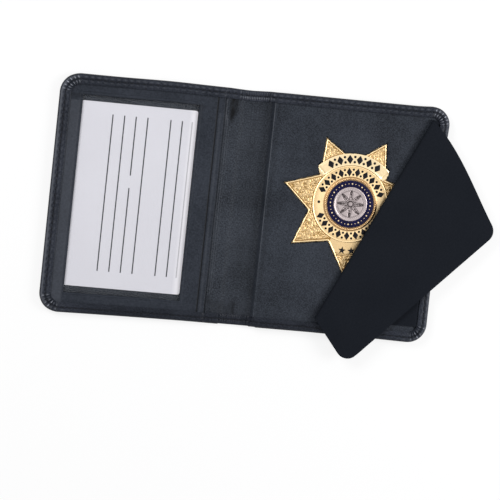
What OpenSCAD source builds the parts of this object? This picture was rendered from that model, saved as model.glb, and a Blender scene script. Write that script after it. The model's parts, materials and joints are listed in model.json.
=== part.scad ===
// Bifold wallet for an identity card and a star badge, lying open with its face up.
// X runs from the card half to the badge half, Y to the top edge and Z up from the table.
// The origin is the middle of the spine on the table. The card half is drawn on the
// badge side and mirrored, so both halves share one outline.

/* [Wallet] */
// Radius of the outer corners
corner_r = 9.5; // [8:0.5:12]
// Width of the hem turned over the edges
hem_w = 5; // [4.5:0.25:5.5]
// Radius of the rolled edge of the cover
edge_roll = 2; // [1.4:0.1:2]

/* [Leather and boards] */
// Thickness of the cover leather
cover_t = 0.9; // [0.8:0.05:1.2]
// Thickness of the hem leather, pared down for turning
hem_t = 0.7; // [0.5:0.05:0.9]
// Thickness of the stiffening boards
board_t = 0.7; // [0.5:0.05:1.2]
// Thickness of the lining
lining_t = 0.3; // [0.2:0.05:0.5]
// Thickness of the panel leather
panel_t = 0.9; // [0.8:0.05:1.2]

/* [Card half] */
// Width of the card
card_w = 57.2; // [50:0.1:62]
// Height of the card
card_h = 88.9; // [80:0.1:96]
// Thickness of the card
card_t = 0.3; // [0.2:0.05:0.8]
// Radius of the corners of the card
card_r = 1; // [0.5:0.5:5]
// Distance that the card lies to the side of the window's middle
card_shift = 0.7; // [0:0.1:1]
// Distance that the card lies above the middle of the wallet
card_rise = 0.4; // [-1:0.1:1]
// Width of each side of the card that the frame covers
card_hold = 0.2; // [0:0.1:1]
// Gap between the card and the top and bottom of the window
window_gap = 3.15; // [1:0.05:5]
// Thickness of the clear window sheet
window_t = 0.25; // [0.15:0.05:0.4]
// Distance from the middle of the spine to the free edge of the window frame
frame_edge_x = 15.3; // [12:0.1:18]
// Width of the frame between its free edge and the window
frame_inner_w = 12.1; // [8:0.1:14]
// Width of the frame between the window and the wallet's side
frame_outer_w = 10.8; // [9:0.1:14]
// Width of the frame above and below the window
frame_end_w = 9.9; // [8:0.1:14]

/* [Badge half] */
// Distance from the middle of the spine to the free edge of the badge panel
panel_edge_x = 9.5; // [9:0.1:12]
// Thickness of the backing sheet that carries the badge
backing_t = 0.5; // [0.4:0.05:0.8]
// Thickness of the foam that fills the panel round the badge
filler_t = 1.5; // [1.4:0.1:2]
// Place of the badge across its panel, from the free edge to the wallet's side
badge_share = 0.4807; // [0.46:0.01:0.52]
// Height of the middle of the badge above the middle of the wallet
badge_y = 7.2; // [0:0.1:8]

/* [Badge] */
// Distance from the middle of the badge to the tips of the star
tip_r = 34.3; // [32:0.1:35]
// Distance from the middle of the badge to the notches of the star
notch_r = 20.8; // [20.2:0.1:22]
// Thickness of the star plate in its sunk field
star_t = 1.3; // [1:0.1:1.4]
// Height of the rim of the star above its field
rim_h = 0.5; // [0.3:0.05:0.6]
// Width of the rim of the star
rim_w = 0.9; // [0.6:0.1:1.4]
// Radius of the round field of the star
field_r = 18.7; // [18:0.1:19]
// Height of the round field above the sunk field
field_h = 0.3; // [0.2:0.05:0.35]
// Width of the ribbon that curves over the round field
ribbon_w = 5.7; // [5:0.1:7]
// Half of the angle that the ribbon spans
ribbon_half_angle = 46; // [38:1:50]
// Outer radius of the collar round the seal
collar_r = 13.3; // [13:0.1:14]
// Outer radius of the enamel ring
enamel_r = 11.4; // [11:0.1:11.6]
// Radius of the silver disc
disc_r = 8.2; // [7:0.1:9]

/* [Flap] */
// Thickness of the flap leather
flap_t = 0.6; // [0.5:0.05:0.8]
// Inner radius of the bend in the flap
bend_r = 0.6; // [0.4:0.05:0.8]
// Distance from the wallet's top to the flap's top edge, where it is sewn
flap_top_inset = 7.5; // [7:0.1:11]
// Distance from the wallet's bottom to the flap's bottom edge
flap_bottom_inset = 8.2; // [7:0.1:11]
// Rise of the curve of the flap's top edge
flap_bulge = 3.2; // [1:0.1:4]
// Distance from the wallet's side to the flap's free corner at the top
flap_reach_top = 70.6; // [60:0.1:76]
// Distance from the wallet's side to the flap's free corner at the bottom
flap_reach_bottom = 81.6; // [70:0.1:84]
// Distance from the wallet's top to the flap's free corner there
flap_corner_inset = 9.9; // [8:0.1:13]
// Radius of the flap's free corners
flap_corner_r = 6; // [3:0.5:10]
// Distance from the wallet's side to the top end of the fold
fold_top_inset = 7.8; // [6.8:0.1:9]
// Distance from the wallet's side to the bottom end of the fold
fold_bottom_inset = 54.9; // [50:0.1:60]
// Angle at which the turned flap comes down to the hem
flap_droop = 1.2; // [0:0.1:1.3]

/* [Badge fixing] */
// Radius of the posts on the back of the badge
post_r = 1; // [0.8:0.05:1.2]
// Distance from the middle of the badge to each post
post_spread = 14; // [8:0.5:20]
// Radius of the nuts on the posts
nut_r = 2.75; // [2.2:0.05:3.2]
// Thickness of the nuts
nut_t = 0.85; // [0.5:0.05:0.9]

/* [Hidden] */

// Clearances and overruns
fit_gap = 0.1;
hinge_gap = 0.15;
fold_gap = 0.55;
closed_gap = 0.55;
card_gap = 0.1;
cutout_gap = 0.5;
bore_gap = 0.15;
well_gap = 0.45;
flap_gap = 0.2;
bend_gap = 0.25;
cut_over = 1;

// Counts of segments
$fn = 72;
roll_steps = 6;
corner_steps = 12;
sweep_steps = 24;
edge_steps = 10;
star_tips = 7;

// Sizes of the window and the wallet, worked out from the card, and the badge's place
window_w = card_w - 2 * card_hold;
window_h = card_h + 2 * window_gap;
window_x = frame_edge_x + frame_inner_w + window_w / 2;
card_x = window_x + card_shift;
half_w = window_x + window_w / 2 + frame_outer_w;
open_w = 2 * half_w;
wallet_h = window_h + 2 * frame_end_w;
half_h = wallet_h / 2;
badge_x = panel_edge_x + badge_share * (half_w - panel_edge_x);

// Heights of the layers above the table
board_z = cover_t;
lining_z = board_z + board_t;
pocket_z = lining_z + lining_t;
gutter_top = pocket_z + hem_t;
backing_z = pocket_z;
filler_z = backing_z + backing_t;
panel_z = filler_z + filler_t;
panel_top = panel_z + panel_t;
right_top = panel_top + hem_t;
card_z = pocket_z + card_gap;
window_z = card_z + card_t + card_gap;
frame_z = window_z + window_t;
frame_top = frame_z + panel_t;
left_top = frame_top + hem_t;
spine_lining_z = cover_t;
spine_hem_z = spine_lining_z + lining_t;
spine_top = spine_hem_z + hem_t;
layer_inset = cover_t + fit_gap;
roll_share = 0.45;

// The flap: its sheet lies on the panel and bends round an axis above it
flap_top_y = half_h - flap_top_inset;
flap_bottom_y = half_h - flap_bottom_inset;
flap_corner_y = half_h - flap_corner_inset;
sheet_z = panel_top + fit_gap;
axis_z = sheet_z + flap_t + bend_r;
bend_out = bend_r + flap_t;
leaf_start = sqrt(pow(bend_out + bend_gap, 2) - pow(bend_r, 2));
fold_top = [half_w - fold_top_inset, flap_top_y + flap_gap];
fold_bottom = [half_w - fold_bottom_inset, -flap_bottom_y];
fold_dir = (fold_bottom - fold_top) / norm(fold_bottom - fold_top);
fold_angle = atan2(fold_dir.y, fold_dir.x);
fold_len = norm(fold_bottom - fold_top);
sewn_x = half_w - layer_inset - flap_gap;
step_in_x = half_w - hem_w - flap_gap;
step_out_x = step_in_x - flap_t;
flap_far_top = [half_w - flap_reach_top, flap_corner_y];
flap_far_bottom = [half_w - flap_reach_bottom, -flap_bottom_y];

// The spine is as wide as the closed stack needs: both halves and the turned flap
spine_w = left_top + axis_z + bend_out + closed_gap - cover_t;
fold_x = spine_w / 2;
knuckle_r = cover_t / 2;
half_start_x = fold_x + knuckle_r + hinge_gap;
spine_pad_x = fold_x - knuckle_r - hinge_gap;
layer_start_x = fold_x + spine_top - knuckle_r + fold_gap;

// The window frame and its pocket
turn_w = 1.5;
pocket_inset = hem_w - cutout_gap;

// The star and what lies on it
star_step = 360 / star_tips;
first_tip = -90;
half_turn = 180;
notch_point = notch_r * [cos(star_step / 2), sin(star_step / 2)];
star_edge_r = tip_r * notch_point.y / norm([tip_r, 0] - notch_point);
star_z = filler_z;
sunk_z = star_z + star_t;
field_z = sunk_z + field_h;
bead_w = 0.8;
bead_h = 0.2;
ribbon_in_r = field_r + fit_gap;
ribbon_r = ribbon_in_r + ribbon_w;
ribbon_t = 0.55;
ribbon_edge_w = 0.6;
ribbon_edge_h = 0.15;
tail_r = ribbon_r + bead_w / 2;
tail_angle = 5;
tail_t = ribbon_t / 2;
collar_t = 0.6;
collar_step = collar_t / 2;
collar_ledge = 0.7;
enamel_t = 0.35;
disc_t = 0.5;
disc_rim_w = 0.6;
disc_sink = 0.1;
band_r = 25.2;
band_angle = 24;
band_h = field_h;

leather = "#2c3036";
panel_leather = "#373b42";
lining_cloth = "#30343b";
board_grey = "#6d675f";
foam_black = "#26282b";
gold = "#d9a84e";
steel = "#b9bcc0";

function arc(centre, radius, from, to, steps) =
    [for (i = [0:steps]) let (a = from + (to - from) * i / steps)
        [centre.x + radius * cos(a), centre.y + radius * sin(a)]];

// Outline of one half between an inner edge and the side, drawn in by an inset
function half_outline(x_in, inset) = concat(
    [[x_in, inset - half_h]],
    arc([half_w - corner_r, corner_r - half_h], corner_r - inset, -90, 0, corner_steps),
    arc([half_w - corner_r, half_h - corner_r], corner_r - inset, 0, 90, corner_steps),
    [[x_in, half_h - inset]]);

// One side of a rolled edge: two quarter rounds from the table to the hem
function roll_for(top) = min(edge_roll, top * roll_share);
function rolled_side(reach, top) = concat(
    arc([reach - roll_for(top), roll_for(top)], roll_for(top), -90, 0, roll_steps),
    arc([reach - roll_for(top), top - roll_for(top)], roll_for(top), 0, 90, roll_steps));
function reversed(points) = [for (i = [len(points) - 1:-1:0]) points[i]];
function mirrored(points) = [for (p = reversed(points)) [-p.x, p.y]];

// Points of a round corner that touches both of its straight sides
function round_corner(before, corner, after, radius) =
    let (a = (before - corner) / norm(before - corner))
    let (b = (after - corner) / norm(after - corner))
    let (half = acos(a * b) / 2)
    let (centre = corner + (a + b) / norm(a + b) * radius / sin(half))
    let (start = corner + a * radius / tan(half) - centre)
    let (from = atan2(start.y, start.x))
    arc(centre, radius, from, from + half_turn - 2 * half, roll_steps);

// Points of the flap's top edge, a shallow curve from its sewn side to its free corner
function top_edge(share) =
    let (right = [sewn_x, flap_top_y])
    right + (flap_far_top - right) * share + [0, 4 * flap_bulge * share * (1 - share)];
top_end_share = 0.88;

module rolled_slab(x_from, x_to, top) {
    translate([x_from, 0, 0])
        rotate([90, 0, 90])
            linear_extrude(x_to - x_from)
                polygon(concat(rolled_side(half_h, top), mirrored(rolled_side(half_h, top))));
}

module rolled_half(x_in, top) {
    end_profile = concat([[0, 0]], rolled_side(corner_r, top), [[0, top]]);
    rolled_slab(x_in, half_w - corner_r, top);
    translate([half_w - corner_r, 0, 0])
        rotate([90, 0, 0])
            linear_extrude(wallet_h - 2 * corner_r, center = true)
                polygon(end_profile);
    for (side = [0, 1])
        mirror([0, side, 0])
            translate([half_w - corner_r, half_h - corner_r, 0])
                rotate_extrude(angle = 90)
                    polygon(end_profile);
}

// A layer of one half, from an inner edge to just inside the rolled edge
module layer(x_in, z, thickness) {
    translate([0, 0, z])
        linear_extrude(thickness)
            polygon(half_outline(x_in, layer_inset));
}

// Cover of one half: a flat skin whose three edges roll up and turn in as a hem
module half_cover(panel_x, top) {
    difference() {
        union() {
            translate([half_start_x, -half_h, 0])
                cube([layer_start_x - half_start_x, wallet_h, cover_t]);
            rolled_slab(layer_start_x, panel_x, gutter_top);
            rolled_half(panel_x, top);
        }
        translate([0, 0, cover_t])
            linear_extrude(gutter_top - hem_t - cover_t)
                polygon(half_outline(layer_start_x - cut_over, cover_t));
        translate([0, 0, cover_t])
            linear_extrude(top - hem_t - cover_t)
                polygon(half_outline(panel_x, cover_t));
        translate([0, 0, cover_t + fit_gap])
            linear_extrude(top)
                polygon(half_outline(layer_start_x - cut_over, hem_w));
    }
}

module left_side() {
    mirror([1, 0, 0])
        children();
}

// Star whose edges stand outside or inside those of the badge by a margin
module star(grow) {
    scale((star_edge_r + grow) / star_edge_r)
        polygon([for (i = [0:2 * star_tips - 1])
            let (r = i % 2 == 0 ? tip_r : notch_r)
            let (a = first_tip + i * star_step / 2)
            [r * cos(a), r * sin(a)]]);
}

module sector(radius, half_angle) {
    polygon(concat([[0, 0]], arc([0, 0], radius, 90 - half_angle, 90 + half_angle, sweep_steps)));
}

// Room for the tails of the ribbon, with a margin round them
module ribbon_tails(margin) {
    margin_angle = atan(margin / notch_r);
    difference() {
        sector(tail_r + margin, ribbon_half_angle + tail_angle + margin_angle);
        sector(tail_r + margin + cut_over, ribbon_half_angle - tail_angle - margin_angle);
    }
}

// Everything that the cut-out of the panel has to clear
module badge_cutout() {
    star(cutout_gap);
    sector(ribbon_r + cutout_gap, ribbon_half_angle);
    ribbon_tails(cutout_gap);
}

module at_badge(z) {
    translate([badge_x, badge_y, z])
        children();
}

module at_posts(z) {
    for (side = [-1, 1])
        translate([badge_x + side * post_spread, badge_y, z])
            children();
}

// The whole flap laid flat, sewn side to the right
module flap_outline() {
    curve = [for (i = [0:edge_steps]) top_edge(top_end_share * i / edge_steps)];
    polygon(concat(
        [[sewn_x, -flap_bottom_y]],
        curve,
        round_corner(top_edge(top_end_share), flap_far_top, flap_far_bottom, flap_corner_r),
        round_corner(flap_far_top, flap_far_bottom, [sewn_x, -flap_bottom_y], flap_corner_r)));
}

// A frame on the fold: X along the fold from its top end, Y to the turned side
module along_fold() {
    translate([fold_top.x, fold_top.y, axis_z])
        rotate([0, 0, fold_angle])
            children();
}

module flap_seen_from_fold() {
    rotate([0, 0, -fold_angle])
        translate([-fold_top.x, -fold_top.y])
            flap_outline();
}

module right_cover() {
    color(leather)
        half_cover(panel_edge_x, right_top);
}

module left_cover() {
    color(leather)
        left_side()
            half_cover(frame_edge_x, left_top);
}

module right_board() {
    color(board_grey)
        difference() {
            layer(layer_start_x, board_z, board_t);
            at_posts(0)
                cylinder(h = pocket_z, r = nut_r + well_gap);
        }
}

module right_lining() {
    color(lining_cloth)
        difference() {
            layer(layer_start_x, lining_z, lining_t);
            at_posts(0)
                cylinder(h = pocket_z + cut_over, r = nut_r + well_gap);
        }
}

module left_board() {
    color(board_grey)
        left_side()
            layer(layer_start_x, board_z, board_t);
}

module left_lining() {
    color(lining_cloth)
        left_side()
            layer(layer_start_x, lining_z, lining_t);
}

// Backing sheet inside the badge half, with a bore for each post
module badge_backing() {
    color(board_grey)
        difference() {
            layer(panel_edge_x + panel_t + fit_gap, backing_z, backing_t);
            at_posts(backing_z - cut_over)
                cylinder(h = backing_t + 2 * cut_over, r = post_r + bore_gap);
        }
}

module badge_filler() {
    color(foam_black)
        difference() {
            layer(panel_edge_x + panel_t + fit_gap, filler_z, filler_t);
            at_badge(filler_z - cut_over)
                linear_extrude(filler_t + 2 * cut_over)
                    badge_cutout();
        }
}

// Panel with the star cut-out, a pared step for the flap's seam and a lip turned down
module badge_panel() {
    lip = concat(
        [[panel_edge_x, pocket_z], [panel_edge_x + panel_t, pocket_z]],
        arc([panel_edge_x + panel_t, panel_z], panel_t, 90, 180, roll_steps));
    color(panel_leather)
        difference() {
            union() {
                layer(panel_edge_x + panel_t, panel_z, panel_t);
                rotate([90, 0, 0])
                    linear_extrude(2 * (half_h - layer_inset), center = true)
                        polygon(lip);
            }
            at_badge(panel_z - cut_over)
                linear_extrude(panel_t + 2 * cut_over)
                    badge_cutout();
            translate([step_out_x - flap_gap, -flap_bottom_y - flap_bulge / 2, panel_top - flap_t])
                cube([hem_w + flap_t, flap_top_y + flap_bottom_y + flap_bulge, flap_t + cut_over]);
        }
}

// Star plate: sunk star field, raised rim, round field with a bead, band on the lowest point
module badge_plate() {
    bead = [[0, 0], [field_r, 0], [field_r, field_z - star_z + bead_h],
        [field_r - bead_w, field_z - star_z + bead_h], [field_r - bead_w, field_z - star_z],
        [0, field_z - star_z]];
    color(gold)
        at_badge(star_z) {
            linear_extrude(star_t)
                star(0);
            difference() {
                linear_extrude(star_t + rim_h)
                    star(0);
                translate([0, 0, star_t - fit_gap])
                    linear_extrude(rim_h + cut_over)
                        star(-rim_w);
                translate([0, 0, star_t])
                    linear_extrude(rim_h + cut_over) {
                        sector(ribbon_r + fit_gap, ribbon_half_angle);
                        ribbon_tails(fit_gap);
                    }
            }
            rotate_extrude()
                polygon(bead);
            intersection() {
                linear_extrude(star_t + band_h)
                    rotate([0, 0, half_turn])
                        sector(band_r, band_angle);
                linear_extrude(star_t + band_h)
                    star(0);
            }
        }
}

// Ribbon over the round field, with edges that stand up and tails that turn under
module badge_ribbon() {
    section = [[ribbon_in_r, 0], [ribbon_r, 0], [ribbon_r, ribbon_t + ribbon_edge_h],
        [ribbon_r - ribbon_edge_w, ribbon_t + ribbon_edge_h], [ribbon_r - ribbon_edge_w, ribbon_t],
        [ribbon_in_r + ribbon_edge_w, ribbon_t], [ribbon_in_r + ribbon_edge_w, ribbon_t + ribbon_edge_h],
        [ribbon_in_r, ribbon_t + ribbon_edge_h]];
    tail = [[ribbon_in_r + bead_w, 0], [tail_r, 0], [tail_r, tail_t], [ribbon_in_r + bead_w, tail_t]];
    color(gold)
        at_badge(sunk_z) {
            rotate([0, 0, 90 - ribbon_half_angle])
                rotate_extrude(angle = 2 * ribbon_half_angle)
                    polygon(section);
            for (side = [0, 1])
                mirror([side, 0, 0])
                    rotate([0, 0, 90 - ribbon_half_angle - tail_angle])
                        rotate_extrude(angle = 2 * tail_angle)
                            polygon(tail);
        }
}

module seal_collar() {
    section = [[enamel_r + fit_gap, 0], [collar_r, 0], [collar_r, collar_step],
        [collar_r - collar_ledge, collar_step], [collar_r - collar_ledge - fit_gap, collar_t],
        [enamel_r + fit_gap, collar_t]];
    color(gold)
        at_badge(field_z)
            rotate_extrude()
                polygon(section);
}

module seal_enamel_ring() {
    color("#17175a")
        at_badge(field_z)
            rotate_extrude()
                translate([disc_r + fit_gap, 0])
                    square([enamel_r - disc_r - fit_gap, enamel_t]);
}

module seal_disc() {
    section = [[0, 0], [disc_r, 0], [disc_r, disc_t], [disc_r - disc_rim_w, disc_t],
        [disc_r - disc_rim_w, disc_t - disc_sink], [0, disc_t - disc_sink]];
    color(steel)
        at_badge(field_z)
            rotate_extrude()
                polygon(section);
}

module badge_posts() {
    color(gold)
        at_posts(pocket_z - nut_t)
            cylinder(h = nut_t + backing_t, r = post_r);
}

module post_nuts() {
    color(steel)
        at_posts(pocket_z - nut_t)
            difference() {
                cylinder(h = nut_t, r = nut_r);
                translate([0, 0, -cut_over])
                    cylinder(h = nut_t + 2 * cut_over, r = post_r + fit_gap / 2);
            }
}

// The flap's outline beyond a line near the wallet's side, drawn in by an inset
module flap_beyond(x_from, inset) {
    intersection() {
        flap_outline();
        polygon(half_outline(0, inset));
        translate([x_from, -half_h])
            square([hem_w + flap_t, wallet_h]);
    }
}

// Sewn part of the flap: seam margin, step up to the panel's face, sheet and half of the bend
module flap_root() {
    color(leather) {
        translate([0, 0, panel_top - flap_t])
            linear_extrude(flap_t)
                flap_beyond(step_out_x, layer_inset + flap_gap);
        translate([0, 0, panel_top - flap_t])
            linear_extrude(2 * flap_t + fit_gap)
                flap_beyond(step_out_x, hem_w + flap_gap);
        translate([0, 0, sheet_z])
            linear_extrude(flap_t)
                intersection() {
                    flap_outline();
                    polygon(half_outline(0, hem_w + flap_gap));
                    translate(fold_top)
                        rotate([0, 0, fold_angle])
                            translate([-half_h, 0])
                                square([open_w + wallet_h, open_w]);
                }
        along_fold()
            rotate([90, 0, 90])
                difference() {
                    cylinder(h = fold_len, r = bend_out);
                    translate([0, 0, -cut_over])
                        cylinder(h = fold_len + 2 * cut_over, r = bend_r);
                    translate([fit_gap, -bend_out - cut_over, -cut_over])
                        cube([bend_out + cut_over, 2 * (bend_out + cut_over), fold_len + 2 * cut_over]);
                }
    }
}

// Free part of the flap, turned back over the fold and drooping to the hem
module flap_leaf() {
    color(leather)
        along_fold()
            rotate([-flap_droop, 0, 0])
                translate([0, 0, bend_r])
                    linear_extrude(flap_t)
                        mirror([0, 1, 0])
                            intersection() {
                                flap_seen_from_fold();
                                translate([-wallet_h, -leaf_start - open_w])
                                    square([3 * wallet_h, open_w]);
                            }
}

// Spine of the cover, with a round end on each fold line and a hem at top and bottom
module spine_cover() {
    color(leather)
        difference() {
            union() {
                translate([-fold_x, -half_h, 0])
                    cube([spine_w, wallet_h, cover_t]);
                for (side = [-1, 1])
                    translate([side * fold_x, half_h, knuckle_r])
                        rotate([90, 0, 0])
                            cylinder(h = wallet_h, r = knuckle_r);
                rolled_slab(-spine_pad_x, spine_pad_x, spine_top);
            }
            translate([-fold_x, cover_t - half_h, cover_t])
                cube([spine_w, wallet_h - 2 * cover_t, lining_t]);
            translate([-fold_x, hem_w - half_h, cover_t])
                cube([spine_w, wallet_h - 2 * hem_w, spine_top]);
        }
}

module spine_lining() {
    color(lining_cloth)
        translate([-spine_pad_x, layer_inset - half_h, spine_lining_z])
            cube([2 * spine_pad_x, wallet_h - 2 * layer_inset, lining_t]);
}

// Frame of the card window: sewn on three sides, its free edge turned under
module id_window_frame() {
    turn_r = (frame_top - window_z) / 2;
    free_edge = concat(
        arc([frame_edge_x + turn_r, window_z + turn_r], turn_r, 90, 270, 2 * roll_steps),
        [[frame_edge_x + turn_w, window_z], [frame_edge_x + turn_w, frame_top]]);
    color(panel_leather)
        left_side()
            difference() {
                union() {
                    layer(frame_edge_x + turn_w, frame_z, panel_t);
                    rotate([90, 0, 0])
                        linear_extrude(2 * (half_h - layer_inset), center = true)
                            polygon(free_edge);
                    difference() {
                        layer(frame_edge_x + turn_r, pocket_z, frame_z - pocket_z + fit_gap);
                        translate([0, 0, pocket_z - cut_over])
                            linear_extrude(frame_z - pocket_z + cut_over)
                                polygon(half_outline(0, pocket_inset));
                    }
                }
                translate([window_x - window_w / 2, -window_h / 2, frame_z - cut_over])
                    cube([window_w, window_h, panel_t + 2 * cut_over]);
            }
}

module id_window() {
    color("#e8eef2", 0.35)
        left_side()
            translate([0, 0, window_z])
                linear_extrude(window_t)
                    polygon(half_outline(frame_edge_x + turn_w + fit_gap, pocket_inset + fit_gap));
}

module id_card() {
    color("#dadbe0")
        left_side()
            translate([card_x, card_rise, card_z])
                linear_extrude(card_t)
                    union() {
                        square([card_w - 2 * card_r, card_h], center = true);
                        square([card_w, card_h - 2 * card_r], center = true);
                        for (x = [-1, 1], y = [-1, 1])
                            translate([x * (card_w / 2 - card_r), y * (card_h / 2 - card_r)])
                                circle(r = card_r);
                    }
}

right_cover();
right_board();
right_lining();
badge_backing();
badge_filler();
badge_panel();
badge_plate();
badge_ribbon();
seal_collar();
seal_enamel_ring();
seal_disc();
badge_posts();
post_nuts();
flap_root();
flap_leaf();
spine_cover();
spine_lining();
left_cover();
left_board();
left_lining();
id_window_frame();
id_window();
id_card();
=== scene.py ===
# %% [markdown]
# A bifold wallet for an identity card and a star badge, lying open with its face up.
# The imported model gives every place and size. This script dresses it: the leather with its turned
# hems, pleats and stitches, the card behind its clear window, the badge in its cut-out and the
# flap that is turned back beside it. Lengths below are in millimetres and are scaled once, on the
# way into a mesh, because Blender works in metres.

# %% Load the frame
import json
import math

import bmesh
import bpy
from mathutils import Matrix, Vector, noise
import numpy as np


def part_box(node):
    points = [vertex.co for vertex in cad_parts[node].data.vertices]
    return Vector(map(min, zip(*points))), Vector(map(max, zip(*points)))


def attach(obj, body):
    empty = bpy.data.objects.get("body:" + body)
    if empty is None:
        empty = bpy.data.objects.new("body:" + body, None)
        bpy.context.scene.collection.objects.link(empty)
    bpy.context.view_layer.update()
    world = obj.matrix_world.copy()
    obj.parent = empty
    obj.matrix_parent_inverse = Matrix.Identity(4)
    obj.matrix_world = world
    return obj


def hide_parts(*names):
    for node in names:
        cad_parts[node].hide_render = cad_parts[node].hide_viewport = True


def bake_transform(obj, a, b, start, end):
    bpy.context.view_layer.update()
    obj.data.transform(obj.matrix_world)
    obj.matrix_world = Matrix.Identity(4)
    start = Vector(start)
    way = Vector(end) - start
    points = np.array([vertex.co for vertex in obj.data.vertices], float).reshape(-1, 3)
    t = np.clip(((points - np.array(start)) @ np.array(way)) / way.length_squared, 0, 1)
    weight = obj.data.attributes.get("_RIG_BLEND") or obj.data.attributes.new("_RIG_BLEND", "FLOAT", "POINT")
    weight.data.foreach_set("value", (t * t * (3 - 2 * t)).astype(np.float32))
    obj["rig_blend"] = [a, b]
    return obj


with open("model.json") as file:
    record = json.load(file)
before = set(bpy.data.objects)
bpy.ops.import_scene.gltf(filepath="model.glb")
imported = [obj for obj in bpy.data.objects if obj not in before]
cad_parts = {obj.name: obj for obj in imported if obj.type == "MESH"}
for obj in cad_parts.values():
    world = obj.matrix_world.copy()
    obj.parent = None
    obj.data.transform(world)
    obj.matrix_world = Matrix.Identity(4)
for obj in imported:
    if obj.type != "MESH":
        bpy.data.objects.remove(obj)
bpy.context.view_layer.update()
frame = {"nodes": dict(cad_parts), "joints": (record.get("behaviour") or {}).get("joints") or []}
MM = 0.001

# %% [markdown]
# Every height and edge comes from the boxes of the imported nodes, so the dress always fits the
# part. The right half holds the badge and the left half holds the card. X runs across the open
# wallet, Y up the page and Z away from the table.

# %% Sizes from the frame


def limits(node):
    """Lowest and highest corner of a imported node, in millimetres."""
    low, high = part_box(node)
    return Vector(low) / MM, Vector(high) / MM


HALF_W, HALF_H, RIGHT_TOP = limits("right_cover")[1]
LEFT_TOP = limits("left_cover")[1].z
SPINE_TOP = limits("spine_cover")[1].z
SPINE_LINING = limits("spine_lining")[1].z
LINING_TOP = limits("left_lining")[1].z
PANEL_TOP = limits("badge_panel")[1].z
PANEL_EDGE = limits("badge_panel")[0].x
FRAME_TOP = limits("id_window_frame")[1].z
FRAME_EDGE = -limits("id_window_frame")[1].x
WINDOW_LOW, WINDOW_HIGH = limits("id_window")
CARD_LOW, CARD_HIGH = limits("id_card")
STAR_LOW = limits("badge_plate")[0]
DISC_LOW, DISC_HIGH = limits("seal_disc")
BADGE_X, BADGE_Y = ((DISC_LOW + DISC_HIGH) / 2).xy
joints = {joint["name"]: joint for joint in frame["joints"]}
FOLD_X = joints["spine_right_fold"]["pos_m"][0] / MM
CORNER_R, HEM_W, HEM_T = 9.5, 5.0, 0.7
GUTTER_TOP = LINING_TOP + HEM_T
print(f"open wallet {2 * HALF_W:.1f} by {2 * HALF_H:.1f} mm, folds at {FOLD_X:.1f} mm")
print(f"badge at {BADGE_X:.1f}, {BADGE_Y:.1f} mm")

# %% [markdown]
# The photograph looks almost straight down from far away, and the wallet is turned by about six
# degrees. A least squares fit of the four outer corners gave the tilt and the turn. A long lens
# keeps the sides parallel, as they are in the photograph.

# %% Camera
CAMERA_TARGET = Vector((4.76, -19.66, 0.0))
CAMERA_DISTANCE = 2000.0
CAMERA_TURNS = (-6.009, -10.689, 6.169)
PIXELS_PER_MM = 2.0733
PICTURE = 500

tilts = [Matrix.Rotation(math.radians(a), 3, axis) for a, axis in zip(CAMERA_TURNS, "XYZ")]
turn = tilts[2] @ tilts[1] @ tilts[0]
camera_data = bpy.data.cameras.new("camera")
camera_data.sensor_width = 36.0
camera_data.lens = PIXELS_PER_MM * CAMERA_DISTANCE * camera_data.sensor_width / PICTURE
camera_data.clip_end = 20.0
camera = bpy.data.objects.new("camera", camera_data)
eye = CAMERA_TARGET + turn @ Vector((0, 0, CAMERA_DISTANCE))
camera.matrix_world = Matrix.Translation(eye * MM) @ turn.to_4x4()
bpy.context.collection.objects.link(camera)
bpy.context.scene.camera = camera
print(f"lens {camera_data.lens:.0f} mm at {CAMERA_DISTANCE:.0f} mm")

# %% [markdown]
# Shader nodes are written as sums. `Value` wraps a socket, and each operator adds one Math node,
# so that a material reads like the sum it is.

# %% Shader arithmetic


class Value:
    """A socket that takes part in Python arithmetic."""

    def __init__(self, finish, socket):
        self.finish, self.socket = finish, socket

    def math(self, operation, *values):
        sockets = dict(enumerate(values))
        return self.finish.node("ShaderNodeMath", {"operation": operation}, sockets)

    def __add__(self, other):
        return self.math("ADD", self, other)

    def __sub__(self, other):
        return self.math("SUBTRACT", self, other)

    def __rsub__(self, other):
        return self.math("SUBTRACT", other, self)

    def __mul__(self, other):
        return self.math("MULTIPLY", self, other)

    def __lt__(self, other):
        return self.math("LESS_THAN", self, other)

    def __gt__(self, other):
        return self.math("GREATER_THAN", self, other)

    __radd__ = __add__
    __rmul__ = __mul__

    def absolute(self):
        return self.math("ABSOLUTE", self)

    def clamped(self, low, high):
        """Runs from 0 to 1 while the value runs from low to high."""
        return self.finish.node("ShaderNodeMapRange", {}, {0: self, 1: low, 2: high})


# %% [markdown]
# `Finish` holds one material: `node` makes any node from its type, its settings and the values of
# its sockets, and `set` fills the sockets of the surface shader. Its other methods are short names
# for what nearly every material here needs: noise, cells, a mix of two colours and a bump.

# %% One material


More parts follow.
